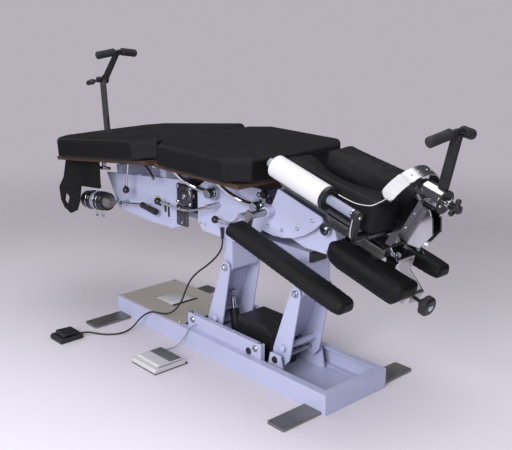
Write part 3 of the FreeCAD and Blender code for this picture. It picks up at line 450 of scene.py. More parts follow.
class Shape:
    """A mesh under construction in one section's own frame, in metres."""

    def __init__(self, place=LEVEL):
        self.mesh = bmesh.new()
        self.place = place

    def skin(self, rings, closed=True):
        """Skins closed rings that have the same number of points."""
        made = [[self.mesh.verts.new(self.place @ Vector(point)) for point in ring]
                for ring in rings]
        for low, high in zip(made, made[1:]):
            for index, corner in enumerate(low):
                after = (index + 1) % len(low)
                self.mesh.faces.new((corner, low[after], high[after], high[index]))
        if closed:
            self.mesh.faces.new(list(reversed(made[0])))
            self.mesh.faces.new(made[-1])

    def turned(self, profile, at, axis, steps=32):
        """Turns (radius, height) points round an axis."""
        turn = Vector(axis).to_track_quat("Z", "Y").to_matrix().to_4x4()
        stand = Matrix.Translation(at) @ turn
        rings = []
        for radius, height in profile:
            rings.append([stand @ Vector((radius * math.cos(math.tau * step / steps),
                                          radius * math.sin(math.tau * step / steps), height))
                          for step in range(steps)])
        self.skin(rings)

    def ball(self, at, radius, axis):
        """A ball whose poles lie on an axis."""
        profile = [(radius * math.cos(math.radians(angle)), radius * math.sin(math.radians(angle)))
                   for angle in range(-85, 86, 10)]
        self.turned(profile, at, axis, 28)

    def sweep(self, points, radius, steps=12):
        """A round rod that bends smoothly through its points."""
        line = smooth_line(points)
        side = None
        rings = []
        for index, here in enumerate(line):
            before, after = line[max(index - 1, 0)], line[min(index + 1, len(line) - 1)]
            along = (after - before).normalized()
            if side is None:
                side = along.orthogonal().normalized()
            side = (side - along * side.dot(along)).normalized()
            up = along.cross(side)
            rings.append([here + (side * math.cos(math.tau * k / steps)
                                  + up * math.sin(math.tau * k / steps)) * radius
                          for k in range(steps)])
        self.skin(rings)

    def block(self, low, high, edge=0.001):
        """A block with rounded edges."""
        made = bmesh.ops.create_cube(self.mesh, size=1.0)["verts"]
        low, high = Vector(low), Vector(high)
        for corner in made:
            corner.co = Vector([low[k] + (corner.co[k] + 0.5) * (high[k] - low[k])
                                for k in range(3)])
        edges = {line for corner in made for line in corner.link_edges}
        soft = bmesh.ops.bevel(self.mesh, geom=list(edges), offset=edge, segments=2,
                               affect="EDGES", profile=0.5)
        for corner in set(made + soft["verts"]):
            if corner.is_valid:
                corner.co = self.place @ corner.co

    def screw(self, at, axis, radius=0.005):
        """A round screw head with a hexagon socket."""
        head = [(radius, 0), (radius, radius * 0.35), (radius * 0.85, radius * 0.6),
                (radius * 0.55, radius * 0.72), (radius * 0.5, radius * 0.72),
                (radius * 0.48, radius * 0.3)]
        self.turned(head, at, axis, 18)

    def bolt(self, at, axis, radius=0.009, washer=0.0):
        """A hexagon bolt head on its washer."""
        along = Vector(axis).normalized()
        start = Vector(at)
        if washer:
            self.turned([(washer, 0), (washer, 0.0012), (washer * 0.96, 0.0016),
                         (radius * 0.6, 0.0016)], start, axis, 24)
            start = start + along * 0.0016
        self.turned([(radius, 0), (radius, radius * 0.55), (radius * 0.9, radius * 0.65),
                     (radius * 0.5, radius * 0.68)], start, axis, 6)

    def done(self, name, finish, body, sharp=38.0):
        """Turns the shape into a piece that rides on a body."""
        bmesh.ops.recalc_face_normals(self.mesh, faces=self.mesh.faces)
        data = bpy.data.meshes.new(name)
        self.mesh.to_mesh(data)
        self.mesh.free()
        data.shade_smooth()
        data.set_sharp_from_angle(angle=math.radians(sharp))
        piece = bpy.data.objects.new(name, data)
        bpy.context.scene.collection.objects.link(piece)
        data.materials.append(finish_of(finish))
        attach(piece, body)
        return piece


def smooth_line(points, steps=6):
    """Points on a smooth line through the given points (a Catmull-Rom spline)."""
    given = [Vector(point) for point in points]
    if len(given) < 3:
        return given
    line = []
    for index in range(len(given) - 1):
        before = given[max(index - 1, 0)]
        start, end = given[index], given[index + 1]
        after = given[min(index + 2, len(given) - 1)]
        for step in range(steps):
            t = step / steps
            line.append(0.5 * (2 * start + (end - before) * t
                               + (2 * before - 5 * start + 4 * end - after) * t * t
                               + (3 * start - before - 3 * end + after) * t ** 3))
    line.append(given[-1])
    return line


def rounded(corners, radius, steps=6, spacing=0.0):
    """A closed outline with round corners; with a spacing its straight runs get points too."""
    given = [Vector(corner) for corner in corners]
    line = []
    for index, here in enumerate(given):
        before, after = given[index - 1], given[(index + 1) % len(given)]
        inward, outward = (before - here).normalized(), (after - here).normalized()
        half = inward.angle(outward) / 2
        reach = min(radius / math.tan(half), 0.45 * (before - here).length,
                    0.45 * (after - here).length)
        start, end = here + inward * reach, here + outward * reach
        if spacing and line:
            line += between(line[-1], start, spacing)
        for step in range(steps + 1):
            t = step / steps
            line.append((1 - t) ** 2 * start + 2 * t * (1 - t) * here + t * t * end)
    if spacing:
        line += between(line[-1], line[0], spacing)
    return line


def between(start, end, spacing):
    """Points spread along a straight run, without its ends."""
    count = max(int((end - start).length / spacing), 1)
    return [start.lerp(end, step / count) for step in range(1, count)]


def inner_line(line, depth):
    """An outline moved inwards, where it runs anticlockwise."""
    moved = []
    for index, here in enumerate(line):
        along = (line[(index + 1) % len(line)] - line[index - 1]).normalized()
        moved.append(here + Vector((-along.y, along.x)) * depth)
    return moved


def seam_distance(point, corners, high, sizes):
    """How far a point on a cushion's side is from its panel's seam; corner panels have none."""
    here = Vector(point[:2])
    found = []
    for index, start in enumerate(corners):
        run = corners[(index + 1) % len(corners)] - start
        share = min(max((here - start).dot(run) / run.length_squared, 0), 1)
        found.append(((here - start - run * share).length, index, share * run.length,
                      (1 - share) * run.length))
    _, index, from_start, from_end = min(found)
    # The outline has two rounds of five panels: a side, a corner, two end panels, a corner.
    panel = index % 5
    if panel in (1, 4):
        return 1.0
    from_corner = {0: min(from_start, from_end), 2: from_start, 3: from_end}[panel]
    below = high - sizes.seam_drop - point[2]
    bend = sizes.seam_bend
    if from_corner < bend and below < bend:
        return bend - math.hypot(bend - from_corner, bend - below)
    return min(from_corner, below)


# The spacing of points along a cushion's outline, and the distance from a corner over which
# its side begins to draw in.
OUTLINE_STEP = 0.006
CORNER_REACH = 0.12


def cushion_form(shape, corners, low, high, sizes, corner_radius):
    """A crowned cushion: side panels sewn in along a curved seam, a rolled edge, a domed top."""
    places = [Vector(corner) for corner in corners]
    line = rounded(places, corner_radius, 8, OUTLINE_STEP)
    slack = [min(min((here - corner).length for corner in places) / CORNER_REACH, 1.0)
             for here in line]
    roll = sizes.rolled_edge
    profile = [(0.040, low), (0.009, low), (0.003, low + 0.002), (0.0006, low + 0.008)]
    wall = high - roll - low - 0.012
    rows = max(int(wall / 0.004), 4)
    profile += [(0.0, low + 0.012 + wall * row / rows) for row in range(rows + 1)]
    for angle in range(9, 91, 9):
        turn = math.radians(angle)
        profile.append((roll * (1 - math.cos(turn)), high - roll * (1 - math.sin(turn))))
    rings = []
    for depth, height in profile:
        lift = (height - low) / (high - low)
        pull = sizes.side_pull * math.sin(math.pi * min(lift * 1.1, 1.0))
        ring = []
        for inner, deeper, share in zip(inner_line(line, depth), inner_line(line, depth + 0.01),
                                        slack):
            inward = (deeper - inner).normalized()
            gap = seam_distance((*inner, height), places, high, sizes)
            groove = sizes.seam_depth * math.exp(-(gap / sizes.seam_width) ** 2)
            crease = 0.0007 * noise.noise(Vector((inner.x, inner.y, height)) * 16)
            moved = inner + inward * (pull * share + groove + crease * min(lift * 3, 1))
            ring.append(Vector((*moved, height)))
        rings.append(ring)
    centre = sum(line, Vector((0, 0))) / len(line)
    edge = inner_line(line, roll)
    reach = min(min(abs(point.x - centre.x) for point in edge if abs(point.y) < 0.05),
                max(abs(point.y) for point in edge))
    for share in (0.97, 0.92, 0.85, 0.76, 0.66, 0.55, 0.44, 0.33, 0.22, 0.12, 0.05):
        rise = sizes.crown * (1 - share ** 3)
        ring = []
        for point in edge:
            away = point - centre
            even = away.normalized() * reach
            flat = centre + even.lerp(away, share ** 0.7) * share
            bumpy = 0.0010 * noise.noise(Vector((flat.x, flat.y, high)) * 7) * (1 - share)
            ring.append(Vector((*flat, high + rise + bumpy)))
        rings.append(ring)
    shape.skin(rings)


def pad_form(shape, stations, section, radius, ends=0.02):
    """A long pad skinned along X: section(u) gives the cross-section's (y, z) corners."""
    first, last = stations[0] + ends, stations[-1] - ends
    turns = [math.radians(angle) for angle in (0, 22, 45, 68, 90)]
    places = [(first - ends * math.sin(turn), ends * (1 - math.cos(turn)))
              for turn in reversed(turns)]
    places += [(u, 0.0) for u in stations[1:-1] if first < u < last]
    places += [(last + ends * math.sin(turn), ends * (1 - math.cos(turn))) for turn in turns]
    rings = []
    for u, inset in places:
        outline = rounded([Vector(corner) for corner in section(u)], radius, 5)
        centre = sum(outline, Vector((0, 0))) / len(outline)
        ring = []
        for point in outline:
            away = point - centre
            moved = centre + away * max(0.0, 1 - inset / max(away.length, 0.001))
            ring.append((u, moved.x, moved.y))
        rings.append(ring)
    shape.skin(rings)


def swell(piece, sizes):
    """Blows a pad's cover up over its filling, with its underside held and its travel capped."""
    scene = bpy.context.scene
    cover = piece.modifiers.new("Cover", "REMESH")
    cover.mode = "VOXEL"
    cover.voxel_size = sizes.cover_mesh
    settle(piece)
    data = piece.data
    start = [corner.co.copy() for corner in data.vertices]
    under = HEAD.to_3x3() @ Vector((0, 0, -1))
    held = [corner.index for corner in data.vertices if corner.normal.dot(under) > 0.6]
    piece.vertex_groups.new(name="held").add(held, 1.0, "REPLACE")
    cloth = piece.modifiers.new("Swell", "CLOTH")
    cloth.settings.quality = 5
    cloth.settings.use_pressure = True
    cloth.settings.uniform_pressure_force = sizes.filling_pressure
    cloth.settings.effector_weights.gravity = 0
    cloth.settings.vertex_group_mass = "held"
    first, last = 1, 20
    cloth.point_cache.frame_start = first
    cloth.point_cache.frame_end = last
    for number in range(first, last + 1):
        scene.frame_set(number)
    settle(piece)
    scene.frame_set(first)
    for corner, before in zip(piece.data.vertices, start):
        moved = corner.co - before
        if moved.length > sizes.swell_cap:
            corner.co = before + moved.normalized() * sizes.swell_cap
    piece.vertex_groups.clear()
    piece.data.shade_smooth()


def settle(piece):
    """Puts what the modifiers show into the piece's mesh and takes them off."""
    graph = bpy.context.evaluated_depsgraph_get()
    data = bpy.data.meshes.new_from_object(piece.evaluated_get(graph))
    piece.modifiers.clear()
    piece.data = data


def spread(low, high, count):
    """Numbers at even steps from low to high."""
    return [low + (high - low) * step / (count - 1) for step in range(count)]


# Pieces whose finish isn't the one that their slot usually has.
OWN_FINISH = {"outrigger_bars": "worn_steel", "black_pedal_base": "black_plastic",
              "traction_motor": "worn_steel", "head_end_bracket": "dark_reflection_steel"}


# Operators, one for each piece or group of like pieces

class TABLE_OT_finishes(bpy.types.Operator):
    """Make the finishes and put them on the frame's metal, board and plastic pieces"""

    bl_idname = "table.finishes"
    bl_label = "Finishes"

    def execute(self, context):
        make_groups()
        make_finishes(context.scene.table_colours)
        for part in frame["record"]["subparts"]:
            piece = frame["nodes"][part["node"]]
            material = finish_of(OWN_FINISH.get(part["node"], part["material_slot"]))
            if piece.material_slots:
                for slot in piece.material_slots:
                    slot.material = material
            else:
                piece.data.materials.append(material)
        return {"FINISHED"}


class TABLE_OT_cushions(bpy.types.Operator):
    """Upholster the thoracic and the caudal cushion"""

    bl_idname = "table.cushions"
    bl_label = "Cushions"

    def execute(self, context):
        sizes = context.scene.table_sizes
        half = THORAX_HIGH.y
        nose, chamfer, bow = 0.215, 0.078, 0.010
        thick = THORAX_HIGH.z - THORAX_LOW.z
        caudal_long, corner_radius = 0.712, 0.022

        def outline(left, right):
            return [(left + chamfer, -half), (right - chamfer, -half), (right - bow, -nose),
                    (right, 0), (right - bow, nose), (right - chamfer, half),
                    (left + chamfer, half), (left + bow, nose), (left, 0),
                    (left + bow, -nose)]

        shape = Shape()
        cushion_form(shape, outline(THORAX_LOW.x, THORAX_HIGH.x), THORAX_LOW.z, THORAX_HIGH.z,
                     sizes, corner_radius)
        piece = shape.done("thoracic_upholstery", "black_vinyl", "chassis", sharp=80)
        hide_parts("thoracic_cushion")
        shape = Shape(FOOT)
        cushion_form(shape, outline(-caudal_long, 0.0), -thick, 0.0, sizes, corner_radius)
        piece = shape.done("caudal_upholstery", "black_vinyl", "carriage", sharp=80)
        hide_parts("caudal_cushion")
        return {"FINISHED"}


class TABLE_OT_head_pads(bpy.types.Operator):
    """Upholster the two face pads and the chest bolster"""

    bl_idname = "table.head_pads"
    bl_label = "Head pads"

    def execute(self, context):
        sizes = context.scene.table_sizes
        pads = Shape(HEAD)
        for side in (-1, 1):
            self.face_pad(pads, side)
        piece = pads.done("face_upholstery", "black_vinyl", "head", sharp=60)
        swell(piece, sizes)
        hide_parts("face_pads")

        bolster = Shape(HEAD)

        start, end, under, top = 0.355, 0.668, -0.226, -0.1512
        near, far = -0.148, -0.049

        def section(u):
            rise = 0.026 * max(0.0, (0.392 - u) / 0.04) + 0.03 * max(0.0, (u - 0.638) / 0.03)
            return [(near, under + rise), (far, under + rise), (far, top), (near, top)]

        pad_form(bolster, spread(start, end, 12), section, 0.016, 0.018)
        piece = bolster.done("bolster_upholstery", "black_vinyl", "head", sharp=60)
        swell(piece, sizes)
        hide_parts("chest_bolster")
        return {"FINISHED"}

    def face_pad(self, pads, side):
        """One pad with a swelling at its chin end, sloping in towards the gap."""
        near, far = 0.106, 0.521

        outer, under = 0.164, -0.049

        def section(u):
            along = (u - near) / (far - near)
            top = 0.036 + 0.031 * along
            lobe = 0.010 * math.exp(-((u - 0.15) / 0.05) ** 2)
            slope = 0.010 + 0.018 * math.sin(math.pi * min(along * 1.2, 1.0))
            inner = 0.0235 + 0.026 * math.sin(math.pi * along) ** 2 * (0.6 + 0.8 * along)
            corners = [(inner, under), (outer, under), (outer - 0.001, top - 0.002),
                       (outer - 0.014, top + 0.001), (inner + 0.020, top - slope + lobe)]
            return corners if side > 0 else [(-y, w) for y, w in reversed(corners)]

        pad_form(pads, spread(near, far, 18), section, 0.016, 0.022)


class TABLE_OT_arm_pads(bpy.types.Operator):
    """Upholster the two arm pads"""

    bl_idname = "table.arm_pads"
    bl_label = "Arm pads"

    def execute(self, context):
        start, end, under = 0.029, 0.570, -0.2706
        middle, half = 0.245, 0.0455
        sizes = context.scene.table_sizes
        for side, name in ((-1, "near"), (1, "far")):
            shape = Shape(HEAD)

            def section(u):
                taper = 0.010 * max(0.0, (u - 0.50) / 0.07) ** 2
                wide = half - taper
                corners = [(middle - wide, under), (middle + wide, under),
                           (middle + wide * 0.98, under + 0.022),
                           (middle + wide * 0.70, under + 0.043),
                           (middle - wide * 0.70, under + 0.043),
                           (middle - wide * 0.98, under + 0.022)]
                return corners if side > 0 else [(-y, w) for y, w in reversed(corners)]

            pad_form(shape, spread(start, end, 16), section, 0.010, 0.014)
            piece = shape.done(name + "_arm_upholstery", "black_vinyl", name + "_arm", sharp=60)
            swell(piece, sizes)
            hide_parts(name + "_arm_pad")
        return {"FINISHED"}


class TABLE_OT_grips(bpy.types.Operator):
    """Fit the foam sleeves on the head and foot handles"""

    bl_idname = "table.grips"
    bl_label = "Foam grips"

    def execute(self, context):
        reach = context.scene.table_sizes.grip_radius
        head = Shape(HEAD)
        for side in (-1, 1):
            inner = Vector((0.600, side * 0.016, 0.312))
            outer = Vector((0.583, side * 0.104, 0.283))
            run = (outer - inner).normalized()
            self.sleeve(head, inner + run * 0.012, outer + run * 0.006, reach)
        piece = head.done("head_foam_sleeves", "black_foam", "head", sharp=60)
        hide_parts("head_grips")
        foot = Shape()
        middle = Vector((-0.842, 0.040, 1.106))
        for side in (-1, 1):
            end = Vector((-0.860, 0.040 + side * 0.094, 1.092))
            run = middle - end
            self.sleeve(foot, end - run * 0.08, middle - run.normalized() * 0.016, reach)
        piece = foot.done("foot_foam_sleeves", "black_foam", "foot_handle", sharp=60)
        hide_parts("foot_handle_grips")
        return {"FINISHED"}

    def sleeve(self, shape, start, end, reach):
        """A foam tube with round shoulders and a slight waist."""
        long = (end - start).length
        bore, soft, waist = reach * 0.45, 0.008, 0.0006
        shoulder = [(reach - soft + soft * math.sin(turn), soft - soft * math.cos(turn))
                    for turn in (math.radians(angle) for angle in (10, 35, 60, 85))]
        profile = [(bore, 0.0), *shoulder]
        for share in (0.3, 0.5, 0.7):
            profile.append((reach - waist * math.sin(math.pi * share), long * share))
        profile += [(radius, long - height) for radius, height in reversed(shoulder)]
        profile.append((bore, long))
        shape.turned(profile, start, end - start, 36)


class TABLE_OT_paper(bpy.types.Operator):
    """Make the paper roll, a black disc over its end that stands in for the end's shade, and the bow that holds
    the sheet
    """

    bl_idname = "table.paper"
    bl_label = "Paper roll"

    def execute(self, context):
        radius = context.scene.table_sizes.paper_radius
        start, end, across, up = 0.135, 0.361, -0.215, 0.020
        roll = Shape(HEAD)
        self.coiled(roll, start, end, across, up, radius)
        piece = roll.done("paper_coil", "paper", "roll", sharp=30)
        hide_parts("paper_roll")
        # Painted shade: a black disc over the roll's end stands in for the shade on that end.
        disc = Shape(HEAD)
        disc.turned([(0.0154, 0), (radius - 0.0015, 0), (radius, 0.0015), (radius, 0.0125),
                     (radius - 0.002, 0.0145), (0.0154, 0.0145)],
                    (end + 0.0003, across, up), (1, 0, 0), 48)
        disc.done("roll_end_shade_disc", "black_plastic", "roll")
        clip = Shape(HEAD)
        clip.turned([(0.0152, 0), (0.0166, 0.001), (0.0166, 0.0045), (0.0152, 0.0055)],
                    (0.4735, across, up), (1, 0, 0), 32)
        clip.sweep([(0.488, -0.2285, 0.012), (0.490, -0.2285, -0.020), (0.494, -0.226, -0.045),
                    (0.497, -0.205, -0.0645), (0.497, -0.165, -0.0645)], 0.0028, 10)
        clip.screw((0.5018, -0.215, 0.020), (1, 0, 0), 0.006)
        clip.done("spindle_clip", "chrome", "head")
        mount = Shape(HEAD)
        mount.block((0.4786, -0.2265, -0.0632), (0.5016, -0.2035, 0.0212), 0.0015)
        mount.block((0.4786, -0.2265, -0.0634), (0.5016, -0.1500, -0.0488), 0.0015)
        mount.turned([(0.0158, 0), (0.0172, 0.0015), (0.0172, 0.0200), (0.0150, 0.0220)],
                     (0.4795, across, up), (1, 0, 0), 32)
        mount.done("spindle_mount", "black_plastic", "head")
        self.bow()
        return {"FINISHED"}

    def coiled(self, shape, start, end, across, up, radius):
        """A roll of paper whose outer layer ends in a step."""
        steps = 72
        rings = []
        for share, inset in ((0.0, 0.35), (0.0, 0.9), (0.001, 0.985), (0.003, 1.0),
                             (0.5, 1.0), (0.997, 1.0), (0.999, 0.985), (1.0, 0.9), (1.0, 0.35)):
            ring = []
            for step in range(steps):
                angle = math.tau * step / steps
                reach = (radius - 0.0007 * step / steps) * inset
                ring.append((start + (end - start) * share, across + reach * math.cos(angle),
                             up + reach * math.sin(angle)))
            rings.append(ring)
        shape.skin(rings)

    def bow(self):
        """The sprung band: a white foot part, a grey steel part with screws, and a wire."""
        wide = 0.022
        steel = self.band("paper_bow_band", "bare_steel", (9, 171), 0.003, wide)
        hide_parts("paper_strap")
        self.band("paper_bow_foot", "white_plastic", (8, 52), 0.0036, wide * 1.06, True)
        studs = Shape(HEAD)
        lean = math.radians(HEAD_TILT)
        for angle in (66, 80, 100, 114):
            turn = math.radians(angle)
            out = Vector((math.sin(lean) * math.sin(turn), -math.cos(turn), math.sin(turn)))
            studs.screw(self.on_bow(math.cos(turn) * BOW_HALF, math.sin(turn) * BOW_TALL), out,
                        0.0035)
        studs.done("paper_bow_screws", "zinc", "head")
        wire = Shape(HEAD)
        wire.sweep(WIRE_ROUTE, 0.0015, 8)
        wire.done("paper_bow_wire", "white_plastic", "head")

    def on_bow(self, across, up, along=0.0):
        """A point of the bow's leaning plane, moved along the table by its width."""
        lean = math.radians(HEAD_TILT)
        return Vector((BOW_BASE + along * math.cos(lean) + up * math.sin(lean), -across,
                       BOW_FOOT + up * math.cos(lean) - along * math.sin(lean)))

    def band(self, name, finish, angles, thick, width, round_end=False):
        """Part of the bow between two angles, with a rounded first end if asked."""
        shape = Shape(HEAD)
        rings = []
        count = 28
        for step, angle in enumerate(spread(*angles, count + 1)):
            turn = math.radians(angle)
            fall = min(1.0, math.sqrt((step + 0.35) / 5.0)) if round_end else 1.0
            outer = (BOW_HALF * math.cos(turn), BOW_TALL * math.sin(turn))
            inner = ((BOW_HALF - thick) * math.cos(turn), (BOW_TALL - thick) * math.sin(turn))
            rings.append([self.on_bow(*outer, -width * fall), self.on_bow(*outer, width * fall),
                          self.on_bow(*inner, width * fall),
                          self.on_bow(*inner, -width * fall)])
        shape.skin(rings)
        return shape.done(name, finish, "head", sharp=40)


# The bow over the face pads: half its span, its rise, and where its middle stands; and the
# route of the wire from its foot to the roll.
BOW_HALF, BOW_TALL = 0.118, 0.103
BOW_BASE, BOW_FOOT = 0.497, 0.054
WIRE_ROUTE = [(0.508, -0.118, 0.0715), (0.514, -0.145, 0.0700), (0.509, -0.1725, 0.0605),
              (0.494, -0.1755, 0.0505), (0.467, -0.1758, 0.0400), (0.441, -0.1758, 0.0330),
              (0.408, -0.1758, 0.0295), (0.382, -0.1768, 0.0290), (0.364, -0.1800, 0.0300)]


class TABLE_OT_ankle_strap(bpy.types.Operator):
    """Hang the ankle strap and its cuff under the caudal cushion"""

    bl_idname = "table.ankle_strap"
    bl_label = "Ankle strap"

    def execute(self, context):
        low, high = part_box("ankle_strap")
        under = high.z
        corners = [(-0.917, under - 0.030), (-0.650, under - 0.002), (-0.650, 0.562),
                   (-0.806, 0.546), (-0.826, 0.470), (-0.850, 0.428), (-0.904, 0.403),
                   (-0.958, 0.420), (-0.985, 0.452), (-0.994, 0.509), (-0.950, 0.560)]
        hole = [(-0.954, 0.452), (-0.926, 0.436), (-0.906, 0.478), (-0.938, 0.494)]
        outline = bpy.data.curves.new("strap_outline", "CURVE")
        outline.dimensions = "2D"
        outline.fill_mode = "BOTH"
        outline.extrude = 0.0018
        outline.bevel_depth = 0.0011
        outline.bevel_resolution = 2
        for loop, radius in ((corners, 0.012), (hole, 0.006)):
            line = rounded([Vector(point) for point in loop], radius, 5, 0.012)
            spline = outline.splines.new("POLY")
            spline.points.add(len(line) - 1)
            for point, (x, z) in zip(spline.points, line):
                point.co = (x, z, 0, 1)
            spline.use_cyclic_u = True
        holder = bpy.data.objects.new("strap_outline", outline)
        bpy.context.scene.collection.objects.link(holder)
        bpy.context.view_layer.update()
        graph = bpy.context.evaluated_depsgraph_get()
        data = bpy.data.meshes.new_from_object(holder.evaluated_get(graph))
        bpy.data.objects.remove(holder)
        middle = (low.y + high.y) / 2
        for corner in data.vertices:
            x, z, across = corner.co
            corner.co = (x, middle + across, z)
        piece = bpy.data.objects.new("ankle_cuff", data)
        bpy.context.scene.collection.objects.link(piece)
        data.materials.clear()
        data.materials.append(finish_of("webbing"))
        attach(piece, "carriage")
        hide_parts("ankle_strap")
        return {"FINISHED"}


class TABLE_OT_motor(bpy.types.Operator):
    """Dress the traction motor with its shell, bare band, vents and clamps"""

    bl_idname = "table.motor"
    bl_label = "Traction motor"

    def execute(self, context):
        at, axis = Vector((-0.850, -0.1503, 0.470)), Vector((0.215, 0, 0.025)).normalized()
        shell = Shape()
        shell.turned([(0.0382, 0.026), (0.0394, 0.028), (0.0394, 0.168), (0.0384, 0.171)],
                     at, axis, 48)
        shell.done("motor_shell", "black_plastic", "caudal")
        band = Shape()
        band.turned([(0.0395, 0.082), (0.0398, 0.0825), (0.0398, 0.106), (0.0395, 0.1065)],
                    at, axis, 48)
        band.done("motor_bare_band", "grey_plastic", "caudal")
        cap = Shape()
        side = axis.orthogonal().normalized()
        up = axis.cross(side)
        vents = 10
        for step in range(vents):
            angle = math.tau * step / vents
            out = side * math.cos(angle) + up * math.sin(angle)
            cap.sweep([at + out * 0.012 - axis * 0.001, at + out * 0.028 - axis * 0.0005],
                      0.0016, 8)
        cap.screw(at - axis * 0.0002, -axis, 0.007)
        cap.done("motor_vents", "black_plastic", "caudal")
        clamps = Shape()
        case = 0.0385
        for share in (0.050, 0.112, 0.135):
            middle = at + axis * share
            turns = [math.radians(angle) for angle in range(-100, 281, 20)]
            clamps.sweep([middle + Vector((0, math.cos(turn), math.sin(turn))) * 0.0415
                          for turn in turns], 0.0017, 8)
        loop = [(-0.006, 0), (-0.005, 0.022), (0.006, 0.033), (0.015, 0.020), (0.016, 0)]
        for share in (0.075, 0.125):
            middle = at + axis * share
            clamps.sweep([middle + Vector((x, 0, -case - drop)) for x, drop in loop],
                         0.0030, 10)
        stem = [(0, 0, case), (-0.002, 0.004, 0.055), (-0.007, 0.012, 0.066)]
        for share in (0.050, 0.080, 0.112):
            clamps.sweep([at + axis * share + Vector(point) for point in stem], 0.0018, 8)
        clamps.done("motor_clamps", "chrome", "caudal")
        return {"FINISHED"}


class TABLE_OT_levers(bpy.types.Operator):
    """Put the ball knobs, sleeves and hubs on the levers"""

    bl_idname = "table.levers"
    bl_label = "Lever knobs"

    def execute(self, context):
        radius = context.scene.table_sizes.ball_radius
        for name, body, at, axis in (
                ("head_tilt_ball", "tilt_lock", (0.010, -0.122, 0.551), (-1, 0, 0)),
                ("flexion_ball", "flexion_lock", (-0.334, -0.135, 0.557), (-1, 0, 0)),
                ("traction_ball", "traction_lock", (-0.536, -0.150, 0.568), (0, 0, -1))):
            shape = Shape()
            shape.ball(at, radius, axis)
            back = -Vector(axis)
            shape.turned([(0.0062, 0.011), (0.0075, 0.0135), (0.0075, 0.019), (0.0055, 0.0205)],
                         at, back, 24)
            shape.done(name, "black_plastic", body)
        sleeve = Shape()
        start, end = Vector((-0.470, -0.118, 0.512)), Vector((-0.370, -0.118, 0.500))
        sleeve.turned([(0.006, -0.002), (0.0124, 0.000), (0.0130, 0.006), (0.0126, 0.050),
                       (0.0134, 0.088), (0.0124, 0.101), (0.004, 0.1035)], start, end - start, 28)
        sleeve.done("grip_sleeve", "black_plastic", "grip")
        return {"FINISHED"}


class TABLE_OT_knobs(bpy.types.Operator):
    """Finish the star knob, the tension knob and the turntable disc of the handle"""

    bl_idname = "table.knobs"
    bl_label = "Knobs"

    def execute(self, context):
        disc = Shape(HEAD)
        for side in (-1, 1):
            disc.screw((0.6327, side * 0.027, 0.096 + side * 0.006), (1, 0, 0), 0.0048)
        disc.turned([(0.0145, 0.0), (0.0145, 0.006), (0.0135, 0.010), (0.0135, 0.016),
                     (0.0100, 0.018), (0.0100, 0.022)], (0.6326, 0, 0.096), (1, 0, 0), 36)
        disc.done("handle_disc_hub", "chrome", "head")
        star = Shape(HEAD)
        for angle in (90, 210, 330):
            turn = math.radians(angle)
            out = Vector((0, math.cos(turn), math.sin(turn)))
            star.turned([(0.0092, 0.006), (0.0082, 0.014), (0.0088, 0.0235), (0.0078, 0.0285),
                         (0.0040, 0.0305)], Vector((0.672, 0, 0.096)), out, 20)
        star.turned([(0.0125, -0.0055), (0.0135, -0.003), (0.0135, 0.0115), (0.0115, 0.0135),
                     (0.0050, 0.0140)], (0.6725, 0, 0.096), (1, 0, 0), 32)
        star.done("star_knob_lobes", "black_plastic", "star")
        cap = Shape(HEAD)
        cap.turned([(0.011, 0), (0.0115, 0.0010), (0.010, 0.0022), (0.002, 0.0026)],
                   (0.6963, 0, -0.243), (1, 0, 0), 32)
        cap.done("tension_knob_cap", "zinc", "tension")
        return {"FINISHED"}


